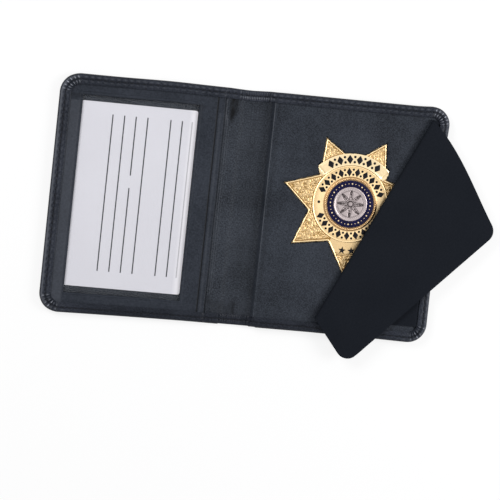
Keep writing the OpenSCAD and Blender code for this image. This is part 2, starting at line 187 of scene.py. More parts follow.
class Finish:
    """One material: a surface shader and the nodes that feed it."""

    def __init__(self, name, where="Object"):
        self.material = bpy.data.materials.new(name)
        self.material.use_nodes = True
        self.tree = self.material.node_tree
        self.shader = self.tree.nodes["Principled BSDF"]
        self.spot = self.node("ShaderNodeTexCoord", {}, {}, where)

    def node(self, kind, settings, sockets, output=0):
        made = self.tree.nodes.new(kind)
        for key, setting in settings.items():
            setattr(made, key, setting)
        for key, value in sockets.items():
            self.feed(made.inputs[key], value)
        return Value(self, made.outputs[output])

    def feed(self, socket, value):
        if isinstance(value, Value):
            self.tree.links.new(value.socket, socket)
        else:
            socket.default_value = value

    def set(self, **sockets):
        for name, value in sockets.items():
            self.feed(self.shader.inputs[name.replace("_", " ")], value)
        return self.material

    def noise(self, size_mm, detail=2.0, roughness=0.5):
        sockets = {"Vector": self.spot, "Scale": 1 / (size_mm * MM)}
        sockets.update({"Detail": detail, "Roughness": roughness})
        return self.node("ShaderNodeTexNoise", {}, sockets)

    def cells(self, size_mm):
        sockets = {"Vector": self.spot, "Scale": 1 / (size_mm * MM)}
        return self.node("ShaderNodeTexVoronoi", {}, sockets, "Distance")

    def mix(self, share, first, second):
        return self.node("ShaderNodeMix", {"data_type": "RGBA"}, {0: share, 6: first, 7: second}, 2)

    def relief(self, height, depth_mm, strength=1.0):
        sockets = {"Height": height, "Distance": depth_mm * MM, "Strength": strength}
        return self.node("ShaderNodeBump", {}, sockets)


def screen(red, green, blue):
    """A colour as a screen shows it, 0 to 255, turned into Blender's linear colour."""
    parts = [value / 255 for value in (red, green, blue)]
    return (*[p / 12.92 if p < 0.0405 else ((p + 0.055) / 1.055) ** 2.4 for p in parts], 1.0)


# %% [markdown]
# All the leather is one family. Each kind mixes three scales: broad cloudy shade from handling,
# pores or pebbles of a fraction of a millimetre, and fine scratches in the gloss. The outside is
# smooth and polished, the panels are duller, the lining is the grainiest and the flap is matte.
# Crests that are rubbed in use turn pale, and the same pale colour is a painted highlight on edges and
# crests that face the lamps. A dark colour is painted shade in creases and grooves, round outer rims and
# where one part shades another. How pale or dark a point is painted comes from the mesh as a number, which
# is below zero for painted shade.
# Pieces that bend across a fold read their own UV map, which doesn't slide when they bend.

# %% Leather and thread


def leather(name, dark, light, rough, shine, grain_mm, depth_mm, coat=0.0, where="Object"):
    finish = Finish(name, where)
    wear_and_light = finish.node("ShaderNodeAttribute", {"attribute_name": "wear_and_light"}, {}, "Fac")
    cloud = finish.noise(24.0, 3.0).clamped(0.35, 0.65)
    pores = finish.cells(grain_mm)
    fine = finish.noise(grain_mm, 3.0, 0.7).clamped(0.32, 0.68)
    scuffs = finish.noise(3.0, 4.0, 0.65).clamped(0.55, 0.8)
    shade = cloud * 0.25 + fine * 0.6 + scuffs * 0.15
    finish.set(Coat_Weight=coat, Coat_Roughness=0.2, Specular_IOR_Level=shine)
    # Above zero the number mixes in the pale colour, as wear and painted highlight; below zero it mixes in
    # painted shade.
    colour = finish.mix(wear_and_light, finish.mix(shade, dark, light), PALE_WEAR_AND_HIGHLIGHT)
    return finish.set(
        Base_Color=finish.mix(wear_and_light * -1.0, colour, PAINTED_SHADE),
        Roughness=cloud * 0.06 + scuffs * 0.1 + fine * 0.06 + rough,
        Normal=finish.relief(pores * 0.7 + fine * 0.5, depth_mm, 0.6),
    )


# A pale colour for rubbed wear and painted highlight, and a dark one for painted shade.
PALE_WEAR_AND_HIGHLIGHT, PAINTED_SHADE = screen(172, 176, 186), screen(6, 7, 10)
COVER = leather("cover_leather", screen(10, 13, 19), screen(60, 64, 74), rough=0.3, shine=0.05,
                grain_mm=0.8, depth_mm=0.12, coat=0.04, where="UV")
LINING = leather("lining_leather", screen(8, 11, 17), screen(72, 77, 86), rough=0.5, shine=0.1,
                 grain_mm=0.75, depth_mm=0.2, where="UV")
FRAME = leather("frame_leather", screen(27, 31, 38), screen(57, 61, 70), rough=0.42, shine=0.1,
                grain_mm=0.8, depth_mm=0.05)
PANEL = leather("panel_leather", screen(10, 13, 19), screen(63, 68, 77), rough=0.5, shine=0.1,
                grain_mm=0.62, depth_mm=0.12)
FLAP = leather("flap_leather", screen(19, 22, 28), screen(28, 31, 37), rough=0.6, shine=0.03,
               grain_mm=0.9, depth_mm=0.012, where="UV")


def thread(name, dark, light, twist_mm):
    finish = Finish(name, "UV")
    sockets = {"Vector": finish.spot, "Scale": 1 / (twist_mm * MM)}
    twist = finish.node("ShaderNodeTexWave", {"bands_direction": "DIAGONAL"}, sockets)
    return finish.set(
        Base_Color=finish.mix(twist, dark, light),
        Roughness=0.5,
        Specular_IOR_Level=0.15,
        Normal=finish.relief(twist, 0.06),
    )


THREAD = thread("thread", screen(20, 22, 28), screen(48, 52, 60), twist_mm=0.7)
print("leathers:", [m.name for m in (COVER, LINING, FRAME, PANEL, FLAP)])

# %% [markdown]
# Most shapes below are sums of a few plain curves. `spread` and `chain` list where a grid has its
# lines, which lie close together where a surface turns. `ease` is a soft step, `dent` a groove and
# `ripple` an unevenness, because no piece of leather lies quite flat.

# %% Lines and curves


def spread(start, end, step):
    """Evenly spaced values from start to end, no further apart than step."""
    count = max(1, math.ceil(abs(end - start) / step - 1e-9))
    return [start + (end - start) * i / count for i in range(count + 1)]


def chain(*runs):
    """Joins runs of values that share their ends."""
    joined = []
    for run in runs:
        joined += [value for value in run if not joined or abs(value - joined[-1]) > 1e-6]
    return joined


def ease(value, low, high):
    """A smooth step from 0 at low to 1 at high."""
    share = min(1.0, max(0.0, (value - low) / (high - low)))
    return share * share * (3 - 2 * share)


def dent(distance, width):
    """A round groove: 1 on its line and nearly 0 a few widths away."""
    return math.exp(-((distance / width) ** 2))


def ripple(x, y, size, seed=0.0):
    """Smooth noise between -1 and 1, the same on every run."""
    return noise.noise(Vector((x / size, y / size, seed)))


# %% [markdown]
# A sheet of leather starts flat, so each one starts here as a grid. `add_sheet` makes the grid
# with `create_grid` and moves every crossing of its lines to where a place function says. The
# same two numbers are kept as the sheet's UV map, in metres, so that grain runs over an edge
# unbroken. `finish_mesh` gives a sheet its thickness and marks the edges that stay crisp.

# %% Grids that are bent into place


def add_sheet(bm, us, vs, place, flip=False):
    """Adds a grid with a line at each of us and vs, and moves its crossings to place(u, v)."""
    made = bmesh.ops.create_grid(bm, x_segments=len(us) - 1, y_segments=len(vs) - 1, size=1)
    own = {}
    for vert in made["verts"]:
        u = us[round((vert.co.x + 1) / 2 * (len(us) - 1))]
        v = vs[round((vert.co.y + 1) / 2 * (len(vs) - 1))]
        own[vert] = (u, v)
        vert.co = Vector(place(u, v)) * MM
    faces = list(dict.fromkeys(face for vert in own for face in vert.link_faces))
    write_uv(bm, faces, lambda vert: [value * MM for value in own[vert]])
    if flip:
        bmesh.ops.reverse_faces(bm, faces=faces)
    return own


def write_uv(bm, faces, flat_place):
    layer = bm.loops.layers.uv.verify()
    for face in faces:
        for loop in face.loops:
            loop[layer].uv = flat_place(loop.vert)


WELD_M = 2e-6


def weld(bm):
    """Merges points that lie together, and removes what that leaves without a length."""
    bmesh.ops.remove_doubles(bm, verts=bm.verts, dist=WELD_M)
    bmesh.ops.dissolve_degenerate(bm, edges=bm.edges, dist=WELD_M / 4)


def thicken(bm, thickness):
    """Extrudes a whole sheet against its normals, point by point, into a closed solid."""
    bm.normal_update()
    layer = bm.verts.layers.float_vector.new("inward")
    for vert in bm.verts:
        vert[layer] = vert.normal * (-thickness * MM)
    made = bmesh.ops.extrude_face_region(bm, geom=bm.faces[:], use_keep_orig=True)["geom"]
    for part in made:
        if isinstance(part, bmesh.types.BMVert):
            part.co += part[layer]
    bm.verts.layers.float_vector.remove(layer)
    bmesh.ops.recalc_face_normals(bm, faces=bm.faces)


def finish_mesh(name, bm, material, thickness=0.0, crisp=50.0):
    """Turns a bmesh into an object. A thickness grows against the faces' normals."""
    if thickness:
        thicken(bm, thickness)
    mesh = bpy.data.meshes.new(name)
    bm.to_mesh(mesh)
    bm.free()
    mesh.materials.append(material)
    mesh.polygons.foreach_set("use_smooth", [True] * len(mesh.polygons))
    mesh.set_sharp_from_angle(angle=math.radians(crisp))
    made = bpy.data.objects.new(name, mesh)
    bpy.context.collection.objects.link(made)
    return made


# %% [markdown]
# Where leather is rubbed, where it is painted with highlight and shade, and where metal is raised depends on
# the shape, so a mesh can carry a number at each point, which the shader reads. `seat` says which body a
# finished piece rides on.

# %% Numbers for the shader, and seats


def numbered_bmesh(layer):
    """A bmesh whose points carry a number for the shader, such as a height from 0 to 1."""
    bm = bmesh.new()
    bm.verts.layers.float.new(layer)
    return bm


def write_numbers(bm, name, own, numbers):
    """Writes on each point of a sheet the number that was worked out for its crossing."""
    layer = bm.verts.layers.float[name]
    for vert, crossing in own.items():
        vert[layer] = numbers[crossing]


def write_number(bm, name, number):
    """Writes the same number on every point."""
    layer = bm.verts.layers.float[name]
    for vert in bm.verts:
        vert[layer] = number


def report(made):
    print(f"{made.name}: {len(made.data.polygons)} faces")


def seat(made, body, slot, *nodes):
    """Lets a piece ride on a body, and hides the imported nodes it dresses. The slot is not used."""
    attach(made, body)
    if nodes:
        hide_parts(*nodes)
    report(made)


# %% [markdown]
# The cover is one piece of smooth leather. Its edge rolls up round the boards and turns in as a
# hem, which is sewn down 2.5 mm from the edge. Sheets swept along the outline would need a joint
# at every corner, so one grid follows the whole outline of a half instead: one way runs along the
# edge, the other way runs from the outside face round the roll to the cut edge of the hem. The
# path starts at the foot of the spine and has five runs: along the lower edge, round a corner, up
# the side, round the other corner and back along the upper edge.

# %% Path of the outline
STITCH, CORNER_STITCHES = 3.2, 4
SEAM_D = 2.5
STRAIGHT = HALF_W - CORNER_R
SIDE = 2 * (HALF_H - CORNER_R)
BEND = CORNER_R * math.pi / 2
PATH = [0, STRAIGHT, STRAIGHT + BEND, STRAIGHT + BEND + SIDE, STRAIGHT + 2 * BEND + SIDE]
PATH.append(PATH[-1] + STRAIGHT)
RUNS = range(len(PATH) - 1)
BENDS = (1, 3)
STITCH_LINES, CORNER_LINES = 4, 10
SAME = 1e-6


def edge_point(u):
    """Point of a half's outline and the direction inwards, at a distance u along it."""
    centre_x, centre_y = HALF_W - CORNER_R, HALF_H - CORNER_R
    if u < PATH[1]:
        return Vector((u, -HALF_H)), Vector((0, 1))
    if u > PATH[4]:
        return Vector((PATH[5] - u, HALF_H)), Vector((0, -1))
    if PATH[2] < u < PATH[3]:
        return Vector((HALF_W, u - PATH[2] - centre_y)), Vector((-1, 0))
    angle = (u - PATH[1]) / CORNER_R - math.pi / 2
    side = -1
    if u >= PATH[3]:
        angle, side = (u - PATH[3]) / CORNER_R, 1
    out = Vector((math.cos(angle), math.sin(angle)))
    return Vector((centre_x, side * centre_y)) + out * CORNER_R, -out


def stitch_count(run):
    length = PATH[run + 1] - PATH[run]
    return CORNER_STITCHES if run in BENDS else round(length / STITCH)


def run_of(u):
    return max(run for run in RUNS if run == 0 or u >= PATH[run])


def stitch_wave(u):
    """1 in the middle of a stitch and -1 at the needle holes between stitches."""
    run = run_of(u)
    share = (u - PATH[run]) / (PATH[run + 1] - PATH[run])
    return -math.cos(2 * math.pi * share * stitch_count(run))


def along_lines():
    """Distances along the path where the grid has a line, twice as many near the spine."""
    lines = []
    for run in RUNS:
        parts = CORNER_LINES if run in BENDS else STITCH_LINES
        step = (PATH[run + 1] - PATH[run]) / stitch_count(run) / parts
        lines = chain(lines, spread(PATH[run], PATH[run + 1], step))
    near = spread(0, 4 * STITCH, lines[1] / 2)
    joined = sorted(lines + near + [PATH[5] - u for u in near])
    return [u for i, u in enumerate(joined) if i == 0 or u - joined[i - 1] > 0.05]


LINES = along_lines()
print(f"outline of a half: {PATH[5]:.0f} mm in {len(LINES)} lines")

# %% [markdown]
# Across the edge, the grid follows the leather's own section: the outside face with its groove,
# a quarter turn up, a quarter turn in, and the hem with its groove and its cut edge. The hem steps
# down from the panels to the gutter and down again to the spine, so each side has a list of
# distances from the spine and the heights reached there.

# %% Section of the edge
COVER_T = 0.6
ROLL_R, ROLL_STEPS = 2.0, 5
GROOVE_DEEP, GROOVE_W, HOLE_DEEP = 0.12, 0.32, 0.06
CROWN_H, CROWN_D, CROWN_W = 0.1, 3.7, 0.8
CUT_DROP, CUT_D = 0.14, 4.75
FLAT_D = (9.5, 7.2, 5.4, 4.2, 3.4, 3.0, 2.75, 2.5, 2.25, 2.05)
HEM_D = (2.05, 2.25, 2.5, 2.75, 3.05, 3.5, 4.1, 4.6, 4.85, 5.0)
STEPS = {
    1: ((6.9, SPINE_TOP), (7.6, GUTTER_TOP), (8.0, 3.3), (8.6, 4.8), (9.5, RIGHT_TOP)),
    -1: ((7.4, SPINE_TOP), (8.4, GUTTER_TOP), (14.2, GUTTER_TOP), (15.2, 3.8), (16.2, LEFT_TOP)),
}


def hem_top(x, side):
    """Height of the hem at a distance x from the middle of the spine."""
    steps = STEPS[side]
    if x <= steps[0][0]:
        return steps[0][1]
    for (x0, z0), (x1, z1) in zip(steps, steps[1:]):
        if x < x1:
            return z0 + (z1 - z0) * ease(x, x0, x1)
    return steps[-1][1]


def section(top, wave, pleat):
    """Points of the edge's section, each the distance inwards from the outline and the height."""
    seam = GROOVE_DEEP + HOLE_DEEP * (1 - wave)
    roll = min(ROLL_R, top * 0.45)
    points = [(d, seam * 0.8 * dent(d - SEAM_D, GROOVE_W)) for d in FLAT_D]
    for centre_z, start in ((roll, -90), (top - roll, 0)):
        for angle in spread(start, start + 90, 90 / ROLL_STEPS):
            turn_by = math.radians(angle)
            d = roll - roll * math.cos(turn_by)
            gathered = pleat * ease(d, 0.3, 1.8) if start == 0 else 0.0
            points.append((d, centre_z + roll * math.sin(turn_by) + gathered))
    for d in HEM_D:
        crown = CROWN_H * dent(d - CROWN_D, CROWN_W)
        sink = seam * dent(d - SEAM_D, GROOVE_W) + CUT_DROP * ease(d, CUT_D, HEM_W)
        points.append((d, top + crown - sink + pleat))
    points.append((HEM_W, top - COVER_T - 0.05))
    return points


smooth_section = section(RIGHT_TOP, 0.0, 0.0)
AROUND = [0.0]
for (d0, z0), (d1, z1) in zip(smooth_section, smooth_section[1:]):
    AROUND.append(AROUND[-1] + max(0.01, math.hypot(d1 - d0, z1 - z0)))
print("points across the edge:", len(AROUND))

# %% [markdown]
# Leather that is turned in round a corner has too much length, so it is gathered into pleats. Near the spine
# the hem is ribbed, where the leather has been bent again and again. The crests of pleats are painted pale,
# as rubbed wear and as painted highlight, and so is the leather that puffs up between stitches. The crests
# of the ribs carry a painted highlight, stronger on the upper hem. The far edge has a painted highlight
# along the line where the lamps catch it, and the seam groove and the outer rim have painted shade. The
# lower hem faces away from the light and is painted darker.

# %% Pleats, ribs, wear and painted light of the hem
PLEATS, PLEAT_H = 7, 0.34
RIB_PITCH, RIB_H = 1.15, 0.16
UPPER_RIB_HIGHLIGHT, LOWER_RIB_HIGHLIGHT = 0.4, 0.16
FAR_EDGE_HIGHLIGHTS = {1: (0.16, 0.95), -1: (0.28, 0.6)}
LOWER_SHADE, SHADE_END = 0.24, 20


def gather(u, x):
    """Height of the folds that gather the hem, and how pale their crest is painted, as wear and as
    highlight.
    """
    height = crest = 0.0
    if run_of(u) in BENDS:
        share = (u - PATH[run_of(u)]) / BEND
        fold = math.cos(2 * math.pi * PLEATS * (share + 0.012 * ripple(u, 0.0, 1.7, 4.0)))
        height = PLEAT_H * math.sin(math.pi * share) ** 0.5 * fold
        ends = ease(share, 0.04, 0.2) * (1 - ease(share, 0.8, 0.96))
        crest = ease(fold, 0.6, 1.0) * ends * (0.9 + 1.1 * ripple(u, 3.0, 2.0, 9.0))
    ribs = 1 - ease(x, 7.0, 9.0)
    rib_highlight = UPPER_RIB_HIGHLIGHT if u > PATH[3] else LOWER_RIB_HIGHLIGHT
    rib = math.cos(2 * math.pi * x / RIB_PITCH)
    return height + RIB_H * ribs * rib, max(crest, rib_highlight * ribs * ease(rib, 0.0, 1.0))


def hem_wear_and_light(d, crest, wave, painted_light, highlight_d, shade):
    """How the hem is painted at a distance d from the edge: pale, as wear and painted highlight, on pleats
    and between stitches; a painted highlight on the lit line at highlight_d; painted shade in the seam,
    round the outer rim and on the lower hem, which faces away from the light."""
    pleat = 0.55 * crest * max(1.3 * dent(d - 1.4, 0.5), dent(d - 3.5, 0.6))
    puff = (0.5 + 0.5 * wave) * (0.1 * dent(d - 1.4, 0.45) + 0.06 * dent(d - 3.4, 0.5))
    side = painted_light * dent(d - highlight_d, 0.28) - shade * ease(d, 0.4, 1.0)
    return pleat + puff + side - 0.4 * dent(d - SEAM_D, 0.3) - 0.6 * (1 - ease(d, 0.1, 0.4))


def edge_at(u, side):
    """What the points of one line across the edge share: its place, its section, and its wear and painted
    light.
    """
    base, inward = edge_point(u)
    top = hem_top(base.x, side)
    wave = stitch_wave(u)
    pleat, crest = gather(u, base.x)
    points = section(top, wave, pleat + 0.03 * ripple(u, 3.0 * side, 2.3))
    far = ease(u, PATH[1], PATH[2]) * (1 - ease(u, PATH[3], PATH[4]))
    painted_light, highlight_d = FAR_EDGE_HIGHLIGHTS[side]
    shade = LOWER_SHADE * (1 - ease(u, PATH[1] - SHADE_END, PATH[1]))
    puffed = wave * (1 + 0.8 * ripple(u, 5.0 * side, 4.0))
    return base, inward, points, top / 2, (crest, puffed, painted_light * far, highlight_d, shade)


# %% [markdown]
# A used wallet isn't as true as its drawing. In the photograph the lower edge bows in towards the
# spine, the upper one is dented there and bulges over the window, the left edge lies further out
# and the corner above the badge is squarer. One helper moves the points of every sheet along the
# edges alike, so what lies in and under the hem moves with it and stays clear of its neighbours.

# %% Outline as it has settled
LOWER_BOW, UPPER_DENT, UPPER_BULGE = 1.2, 0.45, 0.35
LEFT_OUT, CORNER_OUT, CORNER_UP = 0.55, 0.7, 0.55


def settle(bm):
    for vert in bm.verts:
        x, y = vert.co.x / MM, vert.co.y / MM
        lower = LOWER_BOW * (1 - min(1.0, abs(x) / HALF_W) ** 1.7) * ease(-y, 44, 50)
        upper = UPPER_BULGE * dent(x + 42, 17) - UPPER_DENT * dent(x + 3, 8)
        upper += CORNER_UP * ease(x, 78, 92)
        out = CORNER_OUT * ease(y, 38, 54) * ease(x, 82, 90) - LEFT_OUT * ease(-x, 86, 92)
        vert.co.x += out * MM
        vert.co.y += (lower + upper * ease(y, 44, 50)) * MM


# %% [markdown]
# The outside face inside the grooves is a second, plain grid, welded to the first. Both halves of
# the cover meet on the middle of the spine. Leather bends across a fold and doesn't break there,
# so each half of the cover is blended between the spine and its own body.

# %% Cover of each half
SIDE_NAMES = {1: "badge_side", -1: "card_side"}
BODIES = {1: "right_half", -1: "left_half"}
FOLD_REACH = 2.0


def blend_across(made, side):
    """Lets a piece of one side bend over the fold between the spine and that side's half."""
    low, high = (side * (FOLD_X - FOLD_REACH) * MM, side * (FOLD_X + FOLD_REACH) * MM)
    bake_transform(made, "spine", BODIES[side], (low, 0, 0), (high, 0, 0))
    report(made)


def cover_half(side):
    bm = numbered_bmesh("wear_and_light")
    edges = {u: edge_at(u, side) for u in LINES}
    order = {v: i for i, v in enumerate(AROUND)}
    wear_and_light = {}

    def place(u, v):
        base, inward, points, middle, wear = edges[u]
        d, z = points[order[v]]
        spot = base + inward * d
        # The hem's number holds its wear, its painted highlight and its painted shade.
        wear_and_light[(u, v)] = hem_wear_and_light(d, *wear) if z > middle else 0.0
        return side * spot.x, spot.y, z

    own = add_sheet(bm, LINES, AROUND, place, flip=side < 0)
    write_numbers(bm, "wear_and_light", own, wear_and_light)
    across = [u for u in LINES if u <= PATH[1] + SAME]
    up = [u - PATH[2] - HALF_H + CORNER_R for u in LINES if PATH[2] - SAME <= u <= PATH[3] + SAME]
    add_sheet(bm, across, up, lambda u, v: (side * u, v, 0.0), flip=side > 0)
    weld(bm)
    settle(bm)
    return finish_mesh(f"cover_{SIDE_NAMES[side]}", bm, COVER, COVER_T)


for side, nodes in ((1, ("right_cover", "spine_cover")), (-1, ("left_cover",))):
    cover = cover_half(side)
    blend_across(cover, side)
    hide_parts(*nodes)

# %% [markdown]
# The hem is sewn with dark thread. A stitch is a short rounded bar that dips at both ends, where
# the needle went through. One stitch is a stretched sphere of a few dozen faces, repeated along
# the same path as the cover's groove, on the hem and again on the outside face.

# %% Stitches
STITCH_HALF, STITCH_R, STITCH_DIP = 1.12, 0.3, 0.12
CORNER_SHARE = 0.8
THREAD_SINK, OUTSIDE_Z = 0.02, 0.24


def add_stitch(bm, centre, along, up, half_length):
    made = bmesh.ops.create_uvsphere(bm, u_segments=6, v_segments=5, radius=1)
    across = up.cross(along).normalized()
    for vert in made["verts"]:
        x, y, z = vert.co
        lift = x * STITCH_R * 0.8 - STITCH_DIP * z * z
        vert.co = (centre + along * z * half_length + across * y * STITCH_R + up * lift) * MM


def stitch_middles():
    for run in RUNS:
        count = stitch_count(run)
        for i in range(count):
            yield PATH[run] + (i + 0.5) / count * (PATH[run + 1] - PATH[run]), run


def hem_stitches(side):
    bm = bmesh.new()
    for u, run in stitch_middles():
        base, inward = edge_point(u)
        spot = base + inward * SEAM_D
        along = Vector((side * inward.y, -inward.x, 0))
        half_length = STITCH_HALF * (CORNER_SHARE if run in BENDS else 1)
        for z, up in ((hem_top(base.x, side) - THREAD_SINK, 1), (OUTSIDE_Z, -1)):
            centre = Vector((side * spot.x, spot.y, z))
            add_stitch(bm, centre, along, Vector((0, 0, up)), half_length)
    bmesh.ops.recalc_face_normals(bm, faces=bm.faces)
    settle(bm)
    return finish_mesh(f"stitches_{SIDE_NAMES[side]}", bm, THREAD, crisp=80)


for side in (1, -1):
    blend_across(hem_stitches(side), side)

# %% [markdown]
# The lining runs under both panels and across the spine, and shows only in the gutter between
# them. The hem gathers it a little at the top and bottom, so it puckers there, but not where the
# card slides out over it. Two sheets meet on the middle of the spine, and each bends over its own
# fold.

# %% Lining
LINING_W, LINING_H, LINING_T = 90.0, 54.5, 0.3
PUCKER_H, PUCKER_START = 0.6, {1: 36, -1: CARD_HIGH.y + 0.6}
CREASE_H, CREASE_PITCH = 0.05, 1.1
GUTTER_SHADE = 0.19


def gutter_light_and_shade(side, u, v):
    """Painted highlight on the puckers and painted shade in the folds where the hem gathers the lining at
    both ends of the gutter, painted shade at the foot of the card's side, and a painted shade that deepens
    towards the badge's panel and is darkest in the panel's shadow beside its lip."""
    top, foot = ease(v, 38, 45), ease(-v, 41, 49)
    shade = GUTTER_SHADE * ease(side * u, -9, 1.5)
    if side > 0:
        ends = dent(v - 44.5, 3.4) + 0.7 * dent(-v - 45, 4.0)
        return 0.08 * dent(u - 5.2, 1.8) * ends - shade - 0.05 * dent(u - 7.4, 1.0)
    fold = dent(u - 10.8 - 0.08 * (50 - v), 0.8 + 1.3 * ease(v, 40, 50)) * top
    return 0.09 * dent(u - 13.7, 1.3) * top - shade - fold - 0.35 * foot


def pucker(side, u, v):
    """Height of the folds at both ends of the gutter."""
    near_end = ease(abs(v), PUCKER_START[side], 50) * (1 - ease(abs(v), 51.4, 52.6))
    open_part = ease(u, 8.0, 9.2) * (1 - ease(u, 14.6, 16.0))
    folds = math.cos(2.1 * u + 0.25 * math.sin(v)) * 0.5 + 0.5
    return PUCKER_H * near_end * open_part * folds * (0.6 + 0.4 * ripple(u, v, 4.0, 2.0))


def lining_half(side):
    bm = numbered_bmesh("wear_and_light")
    wear_and_light = {}
    xs = chain(spread(0, 10, 0.4), spread(10, 16, 0.2), spread(16, 18, 0.7),
               spread(18, LINING_W, 6))
    ys = chain(spread(-LINING_H, -34, 0.7), spread(-34, 34, 1.6), spread(34, LINING_H, 0.7))

    def place(u, v):
        z = SPINE_LINING + 0.02 + (LINING_TOP - SPINE_LINING - 0.04) * ease(u, 5.2, 8.0)
        z += pucker(side, u, v)
        z += 0.03 * ripple(u, v, 6.0, 5.0) * (1 - ease(abs(v), 50, 52))
        creased = ease(u, 11.6, 12.4) * (1 - ease(u, 14.4, 15.2)) * (side < 0)
        wave = 2 * math.pi * u / CREASE_PITCH
        z += CREASE_H * creased * math.cos(wave + ripple(u, v, 9.0, 6.0))
        painted_light = gutter_light_and_shade(side, u, v) * (1 + 0.7 * ripple(u, v * 0.5, 1.6, 8.0))
        # The crests of the fine creases get a painted highlight.
        wear_and_light[(u, v)] = painted_light + 0.05 * creased * math.cos(wave)
        return side * u, v, z

    own = add_sheet(bm, xs, ys, place, flip=side < 0)
    write_numbers(bm, "wear_and_light", own, wear_and_light)
    weld(bm)
    settle(bm)
    return finish_mesh(f"lining_{SIDE_NAMES[side]}", bm, LINING, LINING_T)


for side, nodes in ((1, ("right_lining", "spine_lining")), (-1, ("left_lining",))):
    lining = lining_half(side)
    blend_across(lining, side)
    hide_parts(*nodes)

# %% [markdown]
# The frame of the card window is a leather panel with its middle cut out. Its free edge is turned
# under, and a hot crease runs round the window and along that edge. The grid has a line wherever
# the surface turns, so the window's rim and the creases stay clean with few faces. The faces
# inside the window are deleted, and the lines next to them hang down as the rim.

# %% Face of the window frame
WINDOW_X = (-84.2, -27.8)
WINDOW_Y = (-47.6, 47.6)
CREASE_D = 1.3
RIM_R = 0.32
NEAR_RIM = (0.0, 0.06, 0.16, RIM_R, 0.6, 0.95, 1.15, CREASE_D, 1.45, 1.65, 2.0, 2.6)
FRAME_OUT_X, FRAME_OUT_Y, FRAME_T = -90.6, 54.2, 0.42
EDGE_CREASE_X = -(FRAME_EDGE + 3.6)
TURN_R, TURN_BACK = 0.55, 1.2
FLAT_END = -FRAME_EDGE - TURN_R
TURNED = [FLAT_END + TURN_R * math.radians(a) for a in spread(0, 180, 20)]
WALL = 0.02


def lines_round_hole(low, high, outer_low, outer_high, step):
    before = [low - d for d in reversed(NEAR_RIM)]
    after = [high + d for d in NEAR_RIM]
    inside = [low + WALL] + spread(low + WALL, high - WALL, 3.0)[1:-1] + [high - WALL]
    return chain(spread(outer_low, before[0], step), before, inside, after,
                 spread(after[-1], outer_high, step))


def frame_height(x, y):
    """Height of the frame's face: rim round the window, creases and a slight padding."""
    dx = max(WINDOW_X[0] - x, x - WINDOW_X[1], 0.0)
    dy = max(WINDOW_Y[0] - y, y - WINDOW_Y[1], 0.0)
    away = math.hypot(dx, dy)
    z = FRAME_TOP - 0.03 + 0.06 * ripple(x, y, 14.0, 1.0)
    if away < RIM_R:
        z -= RIM_R - math.sqrt(RIM_R**2 - (RIM_R - away) ** 2)
    z -= 0.14 * dent(away - CREASE_D, 0.22)
    z -= 0.16 * dent(x - EDGE_CREASE_X, 0.3)
    z += 0.1 * ease(away, 1.6, 4.5)
    return z - 0.12 * ease(abs(y), 51.0, 53.0) - 0.12 * ease(-x, 88.5, 90.4)


def frame_light_and_shade(x, y):
    """Painted shade in the crease of the free edge, along the top edge of the window and over the window;
    painted highlight on the ridge beside the crease and towards the outer left edge.
    """
    above = ease(y, WINDOW_Y[1] - 1, WINDOW_Y[1])
    ridge = 0.035 * dent(x - EDGE_CREASE_X - 1.5, 0.6) + 0.05 * ease(-x, 84.5, 86.0)
    rim = 0.35 * dent(y - WINDOW_Y[1], 0.5) * ease(EDGE_CREASE_X - x, 4.0, 9.0)
    return ridge * (1 - above) - dent(x - EDGE_CREASE_X, 0.4) - rim - 0.08 * above


# %% [markdown]
# At the gutter the sheet goes on past the flat part and turns under in a half circle, as a real
# turned edge does. The lines just inside the window move out to its edge and down to the vinyl,
# which makes them the wall of the rim.

# %% Window frame


def depth_in_window(u, v):
    """How far a crossing lies inside the window, across and up. Outside, one is below zero."""
    return min(u - WINDOW_X[0], WINDOW_X[1] - u), min(v - WINDOW_Y[0], WINDOW_Y[1] - v)


def frame_place(u, v):
    """The frame's face, its turned edge at the gutter, or the foot of the window's rim."""
    if u > FLAT_END:
        angle = min(math.pi, (u - FLAT_END) / TURN_R)
        back = max(0.0, u - TURNED[-1])
        z = frame_height(FLAT_END, v) - TURN_R * (1 - math.cos(angle))
        return FLAT_END + TURN_R * math.sin(angle) - back, v, z
    in_x, in_y = depth_in_window(u, v)
    if min(in_x, in_y) < SAME:
        return u, v, frame_height(u, v)
    x = u if in_y < in_x else WINDOW_X[u > sum(WINDOW_X) / 2]
    y = v if in_x < in_y else WINDOW_Y[v > 0]
    return x, y, WINDOW_HIGH.z + 0.03


def frame_mesh():
    bm = numbered_bmesh("wear_and_light")
    xs = chain(lines_round_hole(*WINDOW_X, FRAME_OUT_X, EDGE_CREASE_X - 0.9, 1.6),
               spread(EDGE_CREASE_X - 0.9, FLAT_END, 0.15), TURNED, [TURNED[-1] + TURN_BACK])
    ys = lines_round_hole(*WINDOW_Y, -FRAME_OUT_Y, FRAME_OUT_Y, 1.2)
    own = add_sheet(bm, xs, ys, frame_place)
    write_numbers(bm, "wear_and_light", own, {spot: frame_light_and_shade(*spot) for spot in own.values()})
    inside = {vert for vert, spot in own.items() if min(depth_in_window(*spot)) > WALL / 2}
    hole = [face for face in bm.faces if inside.issuperset(face.verts)]
    bmesh.ops.delete(bm, geom=hole, context="FACES")
    weld(bm)
    settle(bm)
    return finish_mesh("window_frame", bm, FRAME, FRAME_T)


seat(frame_mesh(), "left_half", "panel_leather", "id_window_frame")

# %% [markdown]
# The window is a sheet of clear vinyl behind the frame. Clear film shows by its reflections
# alone, so the shader mirrors the room like a metal and is nearly all see-through, more so when
# looked at squarely. A wide, soft wave in the mesh breaks the glare into bands.

# %% Clear window


